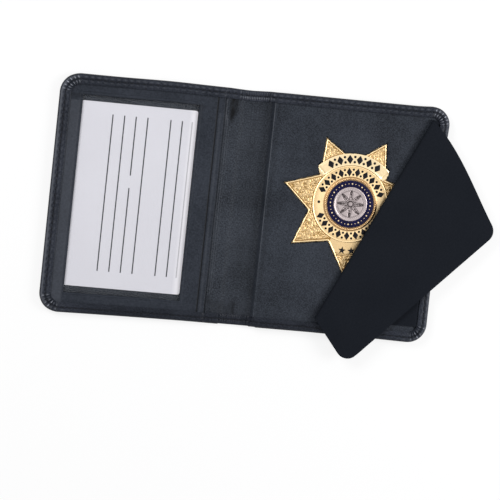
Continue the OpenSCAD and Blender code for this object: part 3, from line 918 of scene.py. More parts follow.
def vinyl():
    finish = Finish("clear_vinyl")
    glance = finish.node("ShaderNodeLayerWeight", {}, {"Blend": 0.35}, 0)
    haze = finish.noise(9.0, 2.0).clamped(0.3, 0.8)
    return finish.set(
        Base_Color=screen(236, 240, 245),
        Metallic=1.0,
        Roughness=haze * 0.08 + 0.1,
        Alpha=glance * 0.14 + 0.004,
    )


VINYL_T, VINYL_SINK, VINYL_WAVE = 0.18, 0.04, 0.035
POCKET_CORNER_R = 4.6


def clear_sheet():
    bm = bmesh.new()
    xs = spread(WINDOW_LOW.x + 0.3, WINDOW_HIGH.x - 0.3, 1.6)
    ys = spread(WINDOW_LOW.y + 0.6, WINDOW_HIGH.y - 0.6, 2.4)

    def place(u, v):
        beyond = math.hypot(max(0, -u - STRAIGHT), max(0, abs(v) - SIDE / 2))
        pull = max(0.0, beyond - POCKET_CORNER_R) * 0.6
        z = WINDOW_HIGH.z - VINYL_SINK + VINYL_WAVE * ripple(u, v, 26.0, 7.0)
        return u + pull, v - math.copysign(pull, v), z

    add_sheet(bm, xs, ys, place)
    weld(bm)
    return finish_mesh("window_sheet", bm, vinyl(), VINYL_T)


seat(clear_sheet(), "left_half", "window_vinyl", "id_window")

# %% [markdown]
# The card is a plain form: pale stock with thin ruled lines down it. The lines are worked out from the
# card's own coordinates, so they stay sharp at any size. Each line is a step where the distance to its
# middle is under half of its width. One line is broken, as where a form leaves room between two fields. The
# strip beside the gutter is painted paler, as glare, and its line is faded in the same painted glare.

# %% Identity card
CARD_LINES = (-68.9, -63.2, -57.6, -51.9, -40.7, -35.1, -30.3)
LINE_HALF, LINE_TOP, LINE_LOW, GLARE_FADE = 0.3, 39.3, -36.0, 0.4
BROKEN_LINE, BREAK_Y, BREAK_HALF = CARD_LINES[2], 8.0, 3.0
GLARE_FROM, GLARE_TO = -32.0, -29.5
CARD_CORNER_R = 1.0


def card_stock():
    finish = Finish("card_stock")
    parts = {"Vector": finish.spot}
    x = finish.node("ShaderNodeSeparateXYZ", {}, parts, "X")
    y = finish.node("ShaderNodeSeparateXYZ", {}, parts, "Y")
    within = (y < LINE_TOP * MM) * (y > LINE_LOW * MM)
    ink = 0.0
    for line in CARD_LINES:
        here = (x - line * MM).absolute() < LINE_HALF * MM
        if line == BROKEN_LINE:
            here = here * ((y - BREAK_Y * MM).absolute() > BREAK_HALF * MM)
        # The last line is faded, as painted glare.
        if line == CARD_LINES[-1]:
            here = here * GLARE_FADE
        ink = here + ink
    pulp = finish.noise(0.5, 4.0, 0.7)
    cloud = finish.noise(30.0, 2.0)
    stock = finish.mix(cloud * 0.5 + pulp * 0.5, screen(208, 207, 214), screen(222, 221, 228))
    # Painted glare: the strip beside the gutter is paler.
    stock = finish.mix(x.clamped(GLARE_FROM * MM, GLARE_TO * MM), stock, screen(236, 234, 239))
    return finish.set(
        Base_Color=finish.mix(ink * within, stock, screen(44, 45, 52)),
        Roughness=pulp * 0.1 + 0.42,
        Normal=finish.relief(pulp, 0.01),
    )


def card_mesh():
    bm = bmesh.new()
    middle = (CARD_LOW + CARD_HIGH) / 2
    half = (CARD_HIGH - CARD_LOW) / 2
    near = [0.0, 0.12, 0.3, 0.6, CARD_CORNER_R]
    limit_x, limit_y = half.x - CARD_CORNER_R, half.y - CARD_CORNER_R
    xs = chain([n - half.x for n in near], spread(-limit_x, limit_x, 2.4),
               [half.x - n for n in reversed(near)])
    ys = chain([n - half.y for n in near], spread(-limit_y, limit_y, 3.0),
               [half.y - n for n in reversed(near)])

    def place(u, v):
        x, y = u, v
        if abs(u) > limit_x and abs(v) > limit_y:
            over = Vector((abs(u) - limit_x, abs(v) - limit_y))
            over = over * (max(over.x, over.y) / over.length)
            x = math.copysign(limit_x + over.x, u)
            y = math.copysign(limit_y + over.y, v)
        return middle.x + x, middle.y + y, CARD_HIGH.z

    add_sheet(bm, xs, ys, place)
    weld(bm)
    return finish_mesh("card", bm, card_stock(), CARD_HIGH.z - CARD_LOW.z)


seat(card_mesh(), "card", "card_stock", "id_card")

# %% [markdown]
# The badge panel is leather over foam, with a cut-out that follows the badge. A grid that runs
# round the badge suits it: its inner line is the cut-out and its outer line is the edge of the
# panel, so the rim of the cut-out and the lip at the gutter are rows of the same sheet. The star's
# outline is worked out from its tips and notches, and the ribbon's from its arc.

# %% Badge outline
TIPS = 7
TIP_R, NOTCH_R = 34.3, 20.8
STEP = 2 * math.pi / TIPS
CUT_GAP = 0.3
RIBBON_IN, RIBBON_OUT, TAIL_OUT = 18.8, 24.5, 24.9
RIBBON_HALF, TAIL_HALF, TAIL_SLANT = math.radians(46), math.radians(5), 2.8
ROUND_STEPS = 476


def star_radius(angle, grow=0.0):
    """Distance from the badge's middle to the star's outline, moved out by grow."""
    share = (angle + math.pi / 2) % STEP
    share = min(share, STEP - share)
    tip = Vector((TIP_R, 0))
    notch = Vector((NOTCH_R * math.cos(STEP / 2), NOTCH_R * math.sin(STEP / 2)))
    edge_r = TIP_R * notch.y / (tip - notch).length
    ray = Vector((math.cos(share), math.sin(share)))
    across = (notch - tip).orthogonal()
    return tip.dot(across) / ray.dot(across) * (edge_r + grow) / edge_r


def from_top(angle):
    """Angle between a direction and straight up, without a sign."""
    return abs((angle - math.pi / 2 + math.pi) % (2 * math.pi) - math.pi)


def tail_radius(away):
    """Outer edge of a tail, which is cut off slanting, at an angle away from the top."""
    return TAIL_OUT - TAIL_SLANT * ease(away, RIBBON_HALF - TAIL_HALF / 2, RIBBON_HALF + TAIL_HALF)


def cutout_radius(angle):
    reach = star_radius(angle, CUT_GAP)
    away = from_top(angle)
    if away < RIBBON_HALF:
        reach = max(reach, RIBBON_OUT + CUT_GAP)
    if abs(away - RIBBON_HALF) < TAIL_HALF + CUT_GAP / NOTCH_R:
        reach = max(reach, tail_radius(away) + CUT_GAP)
    return reach


def round_lines(count):
    return [2 * math.pi * i / count for i in range(count + 1)]


# %% Edge and height of the panel
PANEL_OUT_X, PANEL_OUT_Y, PANEL_T = 91.0, 54.2, 0.55
LIP_X, LIP_R, LIP_SLOPE, LIP_FOOT = PANEL_EDGE - 1.2, 0.9, 0.6, 4.0
LIP_ANGLES = (7, 14, 21, 30, 45, 60, 75, 90)
HIGHLIGHT_ANGLE = math.radians(24)
UNDER_FLAP_DROP = 0.62
CUT_RIM = 0.35
WALL_DROPS = {-3: PANEL_TOP - (STAR_LOW.z + 0.1), -2: 0.8, -1: CUT_RIM}
RIM_ROWS = (0, 0.012, 0.03, 0.06)


def box_exit(angle):
    """Point where a ray from the badge's middle leaves the panel, and the side it leaves by."""
    ray = Vector((math.cos(angle), math.sin(angle)))
    sides = [
        ((LIP_X + LIP_R - BADGE_X) / ray.x if ray.x < 0 else 1e9, Vector((-1, 0))),
        ((PANEL_OUT_X - BADGE_X) / ray.x if ray.x > 0 else 1e9, Vector((1, 0))),
        ((PANEL_OUT_Y - BADGE_Y) / ray.y if ray.y > 0 else 1e9, Vector((0, 1))),
        ((-PANEL_OUT_Y - BADGE_Y) / ray.y if ray.y < 0 else 1e9, Vector((0, -1))),
    ]
    return min(sides, key=lambda pair: pair[0])


def panel_height(x, y):
    z = PANEL_TOP - 0.02 + 0.07 * ripple(x, y, 11.0, 3.0)
    under_flap = ease(x, 87.0, 88.9) * (1 - ease(abs(y), 50.8, 52.0))
    return z - UNDER_FLAP_DROP * under_flap - 0.1 * ease(abs(y), 51.2, 53.0)


# %% [markdown]
# A ray from the badge's middle crosses the wall of the cut-out, its rounded rim, the padded face
# and the outer edge. The number of a row says which of them it lies on: below 0 the wall, from 0
# to 1 the rim and the face, and above 1 the edge.

# %% Leather of the panel


def panel_light_and_shade(t, away, y):
    """Painted light beside the gutter: a painted highlight where the lip turns down, strongest near its top,
    and painted shade on the panel just before the lip."""
    if t > 1:
        painted_light = (0.03 + 0.14 * ease(y, -40, 0)) * (1 + 0.6 * ripple(y, 0, 7.0, 12.0))
        return painted_light * dent(t - 1 - HIGHLIGHT_ANGLE, 0.14)
    return -0.22 * dent(away - 1.3, 1.1) if t >= 0.1 else 0.0


def face_spot(t, ray, inner, reach):
    """Place on the panel's face, or on the rounded rim of the cut-out."""
    r, drop = inner + (reach - inner) * t, 0.0
    if t in RIM_ROWS:
        rise = RIM_ROWS.index(t) / (len(RIM_ROWS) - 1)
        r = inner + CUT_RIM * (1 - math.cos(rise * math.pi / 2)) + 0.02 * rise
        drop = CUT_RIM * (1 - math.sin(rise * math.pi / 2))
    x, y = BADGE_X + ray.x * r, BADGE_Y + ray.y * r
    return x, y, panel_height(x, y) - drop - 0.12 * dent(r - inner - 0.4, 1.2)


def lip_spot(t, ray, reach, side):
    """Place on the outer edge, which turns down to the lining or goes in under the hem."""
    x, y = BADGE_X + ray.x * reach, BADGE_Y + ray.y * reach
    bend = min(math.pi / 2, t - 1)
    z = panel_height(x, y) - LIP_R * (1 - math.cos(bend))
    x += side.x * LIP_R * math.sin(bend)
    y += side.y * LIP_R * math.sin(bend) * 0.4
    if t == LIP_FOOT:
        return x + side.x * LIP_SLOPE, y, LINING_TOP + 0.06
    return x, y, z


def panel_mesh():
    bm = numbered_bmesh("wear_and_light")
    wear_and_light = {}
    rows = [*WALL_DROPS, *RIM_ROWS, *spread(0.1, 1.0, 0.035)]
    rows += [1 + math.radians(a) for a in LIP_ANGLES] + [LIP_FOOT]

    def place(angle, t):
        ray = Vector((math.cos(angle), math.sin(angle)))
        inner = cutout_radius(angle)
        reach, side = box_exit(angle)
        away = (1 - t) * (reach - inner) * abs(ray.x)
        wear_and_light[(angle, t)] = panel_light_and_shade(t, away, BADGE_Y + ray.y * reach) if side.x < 0 else 0.0
        if t < 0:
            foot = ray * inner
            return BADGE_X + foot.x, BADGE_Y + foot.y, PANEL_TOP - WALL_DROPS[t]
        return face_spot(t, ray, inner, reach) if t <= 1 else lip_spot(t, ray, reach, side)

    own = add_sheet(bm, round_lines(ROUND_STEPS), rows, place, flip=True)
    write_uv(bm, bm.faces, lambda vert: vert.co.xy)
    write_numbers(bm, "wear_and_light", own, wear_and_light)
    weld(bm)
    print("crossings of the panel:", len(own))
    settle(bm)
    return finish_mesh("badge_panel_leather", bm, PANEL, PANEL_T)


seat(panel_mesh(), "right_half", "panel_leather", "badge_panel")

# %% [markdown]
# The flap is one thin piece of leather. Its straight side is sewn under the hem at the wallet's
# side, and it is folded over itself along a slanting line, so that its free part lies past the
# wallet's edge and the badge can be seen. Rows of the grid run beside the fold. Each row is as
# long as the flat outline is there, so the sheet keeps its cut shape when it is folded.

# %% Outline of the flap, laid flat
fold_joint = joints["flap_fold"]
FOLD_AT = Vector(fold_joint["pos_m"][:2]) / MM
FOLD_DIR = Vector(fold_joint["axis"][:2]).normalized()
FOLD_OUT = Vector((-FOLD_DIR.y, FOLD_DIR.x))
SEWN_X = 93.6
FLAP_T = 0.5
FLAP_TOP, FLAP_BOTTOM = HALF_H - 7.5, -(HALF_H - 8.2)
FAR_TOP = Vector((HALF_W - 72.7, HALF_H - 9.9))
FAR_BOTTOM = Vector((HALF_W - 83.7, FLAP_BOTTOM))
FLAP_BULGE, FLAP_CORNER_R = 3.2, 6.0


def round_off(before, corner, after, radius, steps=10):
    """Points of an arc that touches both sides of a corner."""
    a, b = (before - corner).normalized(), (after - corner).normalized()
    half = a.angle(b) / 2
    centre = corner + (a + b).normalized() * radius / math.sin(half)
    start = corner + a * radius / math.tan(half) - centre
    sweep = math.pi - 2 * half
    return [centre + Matrix.Rotation(sweep * i / steps, 2) @ start for i in range(steps + 1)]


def flap_top_edge(share):
    right = Vector((SEWN_X, FLAP_TOP))
    bulge = Vector((0, 4 * FLAP_BULGE * share * (1 - share) * (1.75 - 1.5 * share)))
    return right + (FAR_TOP - right) * share + bulge


top_edge = [flap_top_edge(0.88 * i / 24) for i in range(25)]
sewn_foot = Vector((SEWN_X, FLAP_BOTTOM))
flap_cut = [sewn_foot] + top_edge
flap_cut += round_off(top_edge[-1], FAR_TOP, FAR_BOTTOM, FLAP_CORNER_R)
flap_cut += round_off(FAR_TOP, FAR_BOTTOM, sewn_foot, FLAP_CORNER_R)
across_fold = [(point - FOLD_AT).dot(FOLD_OUT) for point in flap_cut]
flap_area = abs(sum(a.cross(b) for a, b in zip(flap_cut, flap_cut[1:] + flap_cut[:1]))) / 2
print(f"flap: {max(across_fold):.1f} mm sewn, {-min(across_fold):.1f} mm turned")
print(f"flap's area: {flap_area:.0f} mm2")


def row_ends(offset):
    """Where a line beside the fold enters and leaves the flat outline, along the fold."""
    found = []
    for p, q in zip(flap_cut, flap_cut[1:] + flap_cut[:1]):
        a, b = (p - FOLD_AT).dot(FOLD_OUT) - offset, (q - FOLD_AT).dot(FOLD_OUT) - offset
        if (a > 0) != (b > 0):
            hit = p + (q - p) * (a / (a - b))
            found.append((hit - FOLD_AT).dot(FOLD_DIR))
    return min(found), max(found)


# %% [markdown]
# The sewn part lies on the panel, the fold is half a tube, and the turned part lies over the sewn
# one and droops a little. The blend between the two bodies runs up through that tube, so only the
# fold bends when the flap is turned.

# %% Flap, folded
BEND_R = 0.85
FLAP_BEND = math.pi * BEND_R
FLAP_LOW = PANEL_TOP + 0.1 + FLAP_T
DROOP = math.tan(math.radians(0.5))
SEAM_IN, SEAM_OUT, SEAM_SINK = HALF_W - HEM_W - 0.9, HALF_W - HEM_W + 0.1, 0.78
CROWN = [0, 0.002, 0.006, 0.014] + spread(0.03, 0.97, 0.0105) + [0.986, 0.994, 0.998, 1]
BLEND_TILT, BLEND_REACH = 0.004, 0.62


def folded(along, offset):
    """Place of a point of the flat flap, given along the fold and as its distance from it."""
    base = FOLD_AT + FOLD_DIR * along
    if offset >= 0:
        spot = base + FOLD_OUT * offset
        z = FLAP_LOW + 0.05 * ripple(spot.x, spot.y, 15.0, 4.0) * ease(offset, 1, 8)
        z -= (FLAP_LOW - RIGHT_TOP + SEAM_SINK) * ease(spot.x, SEAM_IN, SEAM_OUT)
        return spot.x, spot.y, z
    if -offset < FLAP_BEND:
        angle = -offset / BEND_R
        spot = base - FOLD_OUT * BEND_R * math.sin(angle)
        return spot.x, spot.y, FLAP_LOW + BEND_R * (1 - math.cos(angle))
    out = -offset - FLAP_BEND
    spot = base + FOLD_OUT * out
    z = FLAP_LOW + 2 * BEND_R - DROOP * out
    z += 0.14 * ripple(spot.x, spot.y, 32.0, 9.0) * ease(out, 3, 20)
    return spot.x, spot.y, z


def flap_mesh():
    bm = bmesh.new()
    low, high = min(across_fold), max(across_fold)
    tip = [low + 0.02, low + 0.15, low + 0.4, low + 0.8, low + 1.3]
    rows = chain(tip, spread(low + 1.3, -FLAP_BEND - 2, 1.1),
                 spread(-FLAP_BEND - 2, -FLAP_BEND, 0.4), spread(-FLAP_BEND, 0, FLAP_BEND / 12),
                 spread(0, high - 0.02, 1.0))
    ends = {row: row_ends(row) for row in rows}

    def along(share, row):
        return ends[row][0] + (ends[row][1] - ends[row][0]) * share

    own = add_sheet(bm, CROWN, rows, lambda share, row: folded(along(share, row), row))
    write_uv(bm, bm.faces, lambda vert: (along(*own[vert]) * MM, own[vert][1] * MM))
    bm.normal_update()
    sewn = [face for face in bm.faces if all(own[vert][1] > 1 for vert in face.verts)]
    if sum(face.normal.z for face in sewn) < 0:
        bmesh.ops.reverse_faces(bm, faces=bm.faces)
    weld(bm)
    return finish_mesh("flap_leather", bm, FLAP, FLAP_T)


flap = flap_mesh()
report(flap)
blend_dir = Vector((FOLD_OUT.x, FOLD_OUT.y, 0)) * BLEND_TILT + Vector((0, 0, 1))
fold_middle = Vector((FOLD_AT.x, FOLD_AT.y, FLAP_LOW + BEND_R))
reach = blend_dir * BLEND_REACH / blend_dir.length_squared
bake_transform(flap, "right_half", "flap", (fold_middle - reach) * MM, (fold_middle + reach) * MM)
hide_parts("flap_root", "flap_leaf")
flap_area * MM * MM

# %% [markdown]
# The badge is struck brass with a gold finish. Its hollows hold a darker tone and its raised
# edges are polished, so the shader reads how high each point of the relief is. That number is an
# attribute of the mesh, written while the relief is shaped. A fine stipple is too small for the
# mesh and comes from the bump.

# %% Metals and enamel


def metal(name, hollow, light, rough, stipple_mm, depth_mm):
    finish = Finish(name)
    height = finish.node("ShaderNodeAttribute", {"attribute_name": "relief"}, {}, "Fac")
    grain = finish.noise(stipple_mm, 3.0, 0.6)
    wear = finish.noise(6.0, 3.0).clamped(0.35, 0.7)
    tone = (height * 0.85 + grain.clamped(0.3, 0.7) * 0.15).clamped(0.05, 0.85)
    return finish.set(
        Base_Color=finish.mix(tone, hollow, light),
        Metallic=1.0,
        Roughness=wear * 0.08 + rough - height * 0.08,
        Normal=finish.relief(grain, depth_mm, 0.7),
    )


def enamel(name, colour, light):
    finish = Finish(name)
    depth = finish.noise(1.6, 3.0).clamped(0.3, 0.75)
    skin = finish.noise(2.5, 1.0)
    finish.set(Coat_Roughness=0.06, Specular_IOR_Level=0.1, Coat_Weight=0.1)
    return finish.set(
        Base_Color=finish.mix(depth, colour, light),
        Roughness=depth * 0.08 + 0.2,
        Normal=finish.relief(skin, 0.02),
    )


GOLD = metal("badge_gold", screen(126, 92, 38), screen(255, 226, 176), 0.4, 0.35, 0.02)
BRIGHT_GOLD = metal("bright_gold", screen(146, 106, 60), screen(255, 232, 188), 0.28, 0.8, 0.006)
SILVER = metal("seal_silver", screen(34, 26, 28), screen(174, 163, 163), 0.42, 0.5, 0.02)
FOIL = metal("gold_foil", screen(196, 172, 112), screen(232, 212, 160), 0.4, 0.3, 0.01)
BLUE = enamel("blue_enamel", screen(7, 5, 36), screen(15, 12, 62))
BLACK = enamel("black_enamel", screen(12, 12, 16), screen(26, 26, 34))

# %% [markdown]
# The star plate is a grid in rings. Its inner rows are circles for the round field and its bead.
# Its outer rows slide from that circle to the outline of the star, which puts whole rows along
# the rim. The points are filled with scroll work: a ridge runs wherever two layers of smooth
# noise cross zero, and it fades out before the rim. A smooth band crosses the lowest point.

# %% Rows of the star plate
SUNK, FIELD = 3.7, 4.0
FIELD_R, BEAD_R, BEAD_W, BEAD_H, RIM_W = 18.7, 17.9, 0.8, 0.22, 0.9
FIELD_START = FIELD_R + 0.06
COLLAR_R, COLLAR_IN, ENAMEL_IN = 13.3, 11.4, 8.3
BAND_R, BAND_HALF = 25.2, math.radians(24)
STAR_LINES, STAR_CRISP = 952, 40
UNDER_RIBBON = (SUNK - 0.02, 0.3)
star_rows = [("circle", r) for r in (0.0, 6.0, 12.0, 13.6, 15.8, 17.7, 17.9, 18.0, 18.15, 18.3,
                                     18.45, 18.6, 18.7, 18.76)]
star_rows += [("field", share) for share in spread(0.0, 1.0, 1 / 46)]
star_rows += [("rim", inside) for inside in (0.82, 0.7, 0.5, 0.3, 0.14, 0.04, 0.0)]
star_rows += [("wall", z) for z in (SUNK - 0.2, STAR_LOW.z + 0.1, STAR_LOW.z)]
star_rows += [("floor", 0.0)]


def under_ribbon(angle, r):
    away = from_top(angle)
    band = away < RIBBON_HALF and r < RIBBON_OUT + 0.1
    tail = abs(away - RIBBON_HALF) < TAIL_HALF + 0.01 and r < TAIL_OUT + 0.1
    return band or tail


def scroll(x, y):
    """Height of the scroll work, from 0 to 1."""
    warp_x, warp_y = 0.9 * ripple(x, y, 2.2, 11.0), 0.9 * ripple(x, y, 2.2, 17.0)
    first = abs(ripple(x + warp_x, y + warp_y, 1.2, 21.0))
    second = abs(ripple(x - warp_y, y + warp_x, 1.7, 27.0))
    return 1 - max(0.0, 1 - 4.5 * first) * 0.7 - max(0.0, 1 - 5.0 * second) * 0.6


# %% [markdown]
# Each kind of row has a function that gives a point's radius, its height and how polished it is.
# The plate stays low and dull wherever the ribbon covers it.

# %% Relief of the star plate


def circle_point(r):
    """The smooth round field and the bead that ends it."""
    bead = math.sin(math.pi * min(1, max(0, (r - BEAD_R) / BEAD_W)))
    groove = dent(r - BEAD_R + 0.1, 0.12) + dent(r - FIELD_START, 0.12)
    z = FIELD + BEAD_H * bead if r <= FIELD_R else SUNK
    return r, z, 0.74 - 0.5 * min(1.0, groove) + 0.1 * bead


def field_point(angle, share):
    """The scroll work of the points, and the smooth band across the lowest one."""
    inner_rim = star_radius(angle, -RIM_W)
    r = FIELD_START + (inner_rim - FIELD_START) * share
    from_bottom = math.pi - from_top(angle)
    if from_bottom < BAND_HALF and r < BAND_R:
        line = 1.0 if 0.35 < BAND_R - r < 0.9 else 0.0
        return r, FIELD - 0.12 * line, 0.5 - 0.35 * line
    if under_ribbon(angle, r):
        return r, *UNDER_RIBBON
    near_band = ease(r, BAND_R, BAND_R + 0.5) if from_bottom < BAND_HALF + 0.03 else 1.0
    mask = ease(r, FIELD_R + 0.1, FIELD_R + 0.6) * ease((inner_rim - r) * 0.5, 0.1, 0.35)
    lift = scroll(r * math.cos(angle), r * math.sin(angle)) * mask * near_band
    return r, SUNK + 0.22 * lift, 0.02 + 0.5 * min(1.0, max(0.0, lift))


def rim_point(angle, inside):
    """The polished rim along the star's outline."""
    r = star_radius(angle, -inside)
    covered = under_ribbon(angle, star_radius(angle))
    if covered and from_top(angle) < RIBBON_HALF + TAIL_HALF:
        return r, *UNDER_RIBBON
    across = min(1.0, max(0.0, (RIM_W - inside) / RIM_W))
    height = 0.5 * math.sin(math.pi * min(1.0, across * 1.08 + 0.02)) ** 0.45
    return r, SUNK + max(0.12, height), 0.55 + 0.45 * ease(height, 0.2, 0.45)


def star_point(angle, row):
    """Radius, height and relief of the star plate, in a direction and on one of its rows."""
    kind, value = star_rows[row]
    if kind == "circle":
        return circle_point(value)
    if kind == "field":
        return field_point(angle, value)
    if kind == "rim":
        return rim_point(angle, value)
    return (star_radius(angle), value, 0.5) if kind == "wall" else (0.0, STAR_LOW.z, 0.3)


# %% [markdown]
# All parts of the badge are round, so one helper makes a sheet of rings from such a function. The
# star plate is the first of them.

# %% Star plate


def relief_mesh(name, bm, own, reliefs, material, thickness=0.0):
    write_numbers(bm, "relief", own, reliefs)
    weld(bm)
    return finish_mesh(name, bm, material, thickness, STAR_CRISP)


def ring_piece(name, angles, rows, point, material, thickness=0.0):
    """A sheet of rings round the badge's middle, from a function that gives each crossing's
    radius, height and relief."""
    bm = numbered_bmesh("relief")
    reliefs = {}

    def place(angle, row):
        r, z, reliefs[(angle, row)] = point(angle, row)
        return BADGE_X + r * math.cos(angle), BADGE_Y + r * math.sin(angle), z

    own = add_sheet(bm, angles, rows, place, flip=True)
    return relief_mesh(name, bm, own, reliefs, material, thickness)


star = ring_piece("badge_star", round_lines(STAR_LINES), range(len(star_rows)), star_point, GOLD)
seat(star, "right_half", "badge_gold", "badge_plate")

# %% [markdown]
# The ribbon arches over the round field. It is a curved strip with raised edges and a slightly
# hollow face. At each end the strip turns under, and a shorter tail with a slanting end shows
# below it. Strip and tails are rings cut short, so they share the plate's way of working.

# %% Ribbon
RIBBON_TOP, RIBBON_T, TAIL_T = 4.3, 0.5, 0.28
TAIL_IN, TAIL_START = RIBBON_IN + 0.5, RIBBON_HALF - 0.02
TAIL_LOW, TAIL_ROLL = SUNK + 0.2, 0.3
RIBBON_ROWS = chain([0.0, 0.02, 0.04, 0.055, 0.07, 0.09, 0.12], spread(0.12, 0.88, 0.095),
                    [0.91, 0.93, 0.945, 0.96, 0.98, 1.0])


def ribbon_point(angle, share):
    edge = 0.16 * (dent(share - 0.055, 0.05) + dent(share - 0.945, 0.05))
    bow = 0.1 * math.cos(math.pi * (share - 0.5))
    end = ease(from_top(angle), RIBBON_HALF - 0.05, RIBBON_HALF)
    z = RIBBON_TOP + edge - bow * 0.5 - 0.14 * end
    return RIBBON_IN + (RIBBON_OUT - RIBBON_IN) * share, z, 0.8 + 1.0 * edge - 0.3 * end


def tail_mesh(name, side):
    bm = numbered_bmesh("relief")
    reliefs = {}

    def place(away, share):
        turned = min(1.0, max(0.0, (away - TAIL_START) / (RIBBON_HALF + TAIL_HALF - TAIL_START)))
        roll = math.sin(math.pi * turned)
        reliefs[(away, share)] = 0.25 + 0.6 * roll
        r = TAIL_IN + (tail_radius(away) - TAIL_IN) * share
        angle = math.pi / 2 + side * away
        z = TAIL_LOW + TAIL_ROLL * roll
        return BADGE_X + r * math.cos(angle), BADGE_Y + r * math.sin(angle), z

    aways = spread(TAIL_START, RIBBON_HALF + TAIL_HALF, math.radians(0.5))
    own = add_sheet(bm, aways, RIBBON_ROWS, place, flip=side > 0)
    return relief_mesh(name, bm, own, reliefs, BRIGHT_GOLD, TAIL_T)


arc = [math.pi / 2 + math.radians(a) for a in spread(-46, 46, 1.0)]
ribbon = ring_piece("badge_ribbon_band", arc, RIBBON_ROWS, ribbon_point, BRIGHT_GOLD, RIBBON_T)
seat(ribbon, "right_half", "badge_gold", "badge_ribbon")
for side, label in ((-1, "right"), (1, "left")):
    seat(tail_mesh(f"badge_ribbon_tail_{label}", side), "right_half", "badge_gold")

# %% [markdown]
# The seal in the middle is built from rings: a gold collar with a beaded edge, a ring of blue
# enamel that bulges a little, and a silver disc with a plain rosette struck into it. A bead that
# repeats round a ring is a wave in the ring's height.

# %% Seal
BEADS, BEAD_LIFT = 90, 0.07
ROSETTE, TICKS = 8, 48
DISC_R = (DISC_HIGH.x - DISC_LOW.x) / 2
COLLAR = {
    0.0: (4.0, 0.18), 0.06: (4.46, 0.18), 0.12: (4.56, 0.18), 0.22: (4.56, 0.18),
    0.3: (4.4, 0.0), 0.38: (4.44, 0.18), 0.48: (4.5, 0.26), 0.58: (4.44, 0.18),
    0.66: (4.26, 0.0), 0.72: (4.22, 0.05), 0.92: (4.14, 0.18), 1.0: (4.08, 0.18),
    1.001: (FIELD - 0.05, 0.18),
}
DISC_ROWS = chain(spread(0, 0.82, 0.03),
                  [0.83, 0.86, 0.89, 0.91, 0.925, 0.94, 0.97, 0.985, 1.0, 1.002])


def collar_point(angle, row):
    inner = COLLAR_IN + 0.1
    z, tone = COLLAR[row]
    bead = BEAD_LIFT * math.cos(BEADS * angle) if 0.3 < row < 0.66 else 0.0
    return inner + (COLLAR_R - inner) * min(1.0, row), z + bead, tone + 2.0 * bead


def enamel_point(angle, row):
    r = ENAMEL_IN - 0.05 + (COLLAR_IN + 0.1 - ENAMEL_IN) * row
    return r, FIELD + 0.12 + 0.25 * math.sin(math.pi * (0.12 + 0.76 * row)), 0.5


def disc_point(angle, row):
    """The rosette: petals with a vein and barbs, a line round them, ticks and a raised rim."""
    if row > 1:
        return DISC_R, DISC_LOW.z, 0.3
    petal = math.cos(ROSETTE * angle / 2) ** 2
    reach = 0.22 + 0.46 * petal
    inside = 1 - ease(row, reach - 0.06, reach)
    lines = dent(row - reach - 0.04, 0.075) + dent(row - 0.16, 0.04) + 0.7 * dent(row - 0.78, 0.025)
    vein = inside * ease(row, 0.18, 0.24) * dent(math.sin(ROSETTE * angle / 2), 0.26)
    barbs = inside * max(0.0, math.cos(40 * row + 3 * petal)) * ease(row, 0.2, 0.3)
    ticks = max(0.0, math.cos(TICKS * angle)) * (0.82 < row < 0.9)
    rim = ease(row, 0.91, 0.94) * (1 - 0.6 * ease(row, 0.98, 1.0))
    dark = min(1.0, lines + 0.8 * vein + 0.5 * barbs + 0.4 * ticks)
    z = DISC_LOW.z + 0.42 + 0.1 * inside - 0.1 * dark + 0.1 * rim
    return DISC_R * row, z, 0.86 - 0.84 * dark - 0.12 * inside + 0.1 * rim


collar = ring_piece("seal_collar_ring", round_lines(720), list(COLLAR), collar_point, BRIGHT_GOLD)
seat(collar, "right_half", "badge_gold", "seal_collar")
ring = ring_piece("seal_blue_ring", round_lines(144), spread(0, 1, 0.1), enamel_point, BLUE)
seat(ring, "right_half", "seal_enamel", "seal_enamel_ring")
disc = ring_piece("seal_silver_disc", round_lines(384), DISC_ROWS, disc_point, SILVER)
seat(disc, "right_half", "seal_silver", "seal_disc")

# %% [markdown]
# The lettering on such a badge is left off. A border of lozenges and dots in black enamel takes
# its place on the ribbon and round the field, with two small five-pointed stars on the band. Each
# mark is a low cone with its top cut off, which has a soft edge and a flat face.

# %% Enamel border
RIBBON_MID, FIELD_MID = (RIBBON_IN + RIBBON_OUT) / 2, 15.5
BORDERS = (
    (RIBBON_MID, 122, 58, 11, RIBBON_TOP, 1.6),
    (FIELD_MID, 158, 22, 19, FIELD + 0.02, 1.5),
    (FIELD_MID, 206, 334, 17, FIELD + 0.02, 1.5),
)
DOT_ANGLES, DOT_SIZE = (181, 359), 0.75
STARS_R, STARS_X, STARS_Y = 22.8, (-1.6, 3.0), -22.7
STARS_SIZE, STAR_WAIST = 2.1, 0.42
RING_DOTS, RING_DOT_R, RING_DOT_Z = 36, 9.85, FIELD + 0.38


def add_mark(bm, r, angle, z, size, segments=4, stretch=1.5, height=0.09, waist=1.0):
    """A low mark at a place round the badge, with a point towards the badge's middle."""
    made = bmesh.ops.create_cone(bm, cap_ends=True, segments=segments, radius1=1.0, radius2=0.86,
                                 depth=height)
    out = Vector((math.cos(angle), math.sin(angle), 0))
    along = Vector((-out.y, out.x, 0))
    for vert in made["verts"]:
        spoke = math.atan2(vert.co.x, vert.co.y)
        number = round(spoke / (2 * math.pi / segments)) % 2
        local = vert.co.xy * size * (waist if number else 1.0)
        spot = Vector((BADGE_X, BADGE_Y, z)) + out * (r - local.y * stretch) + along * local.x
        vert.co = (spot + Vector((0, 0, vert.co.z))) * MM


def add_border(bm, r, first, last, count, z, size):
    """Lozenges along an arc, with a pair of dots between them."""
    for i in range(count):
        angle = math.radians(first + (last - first) * i / (count - 1))
        if i % 2:
            for side in (-1, 1):
                add_mark(bm, r + side * size * 0.8, angle, z, size * 0.42, 10, 1.0)
        else:
            add_mark(bm, r, angle, z, size)


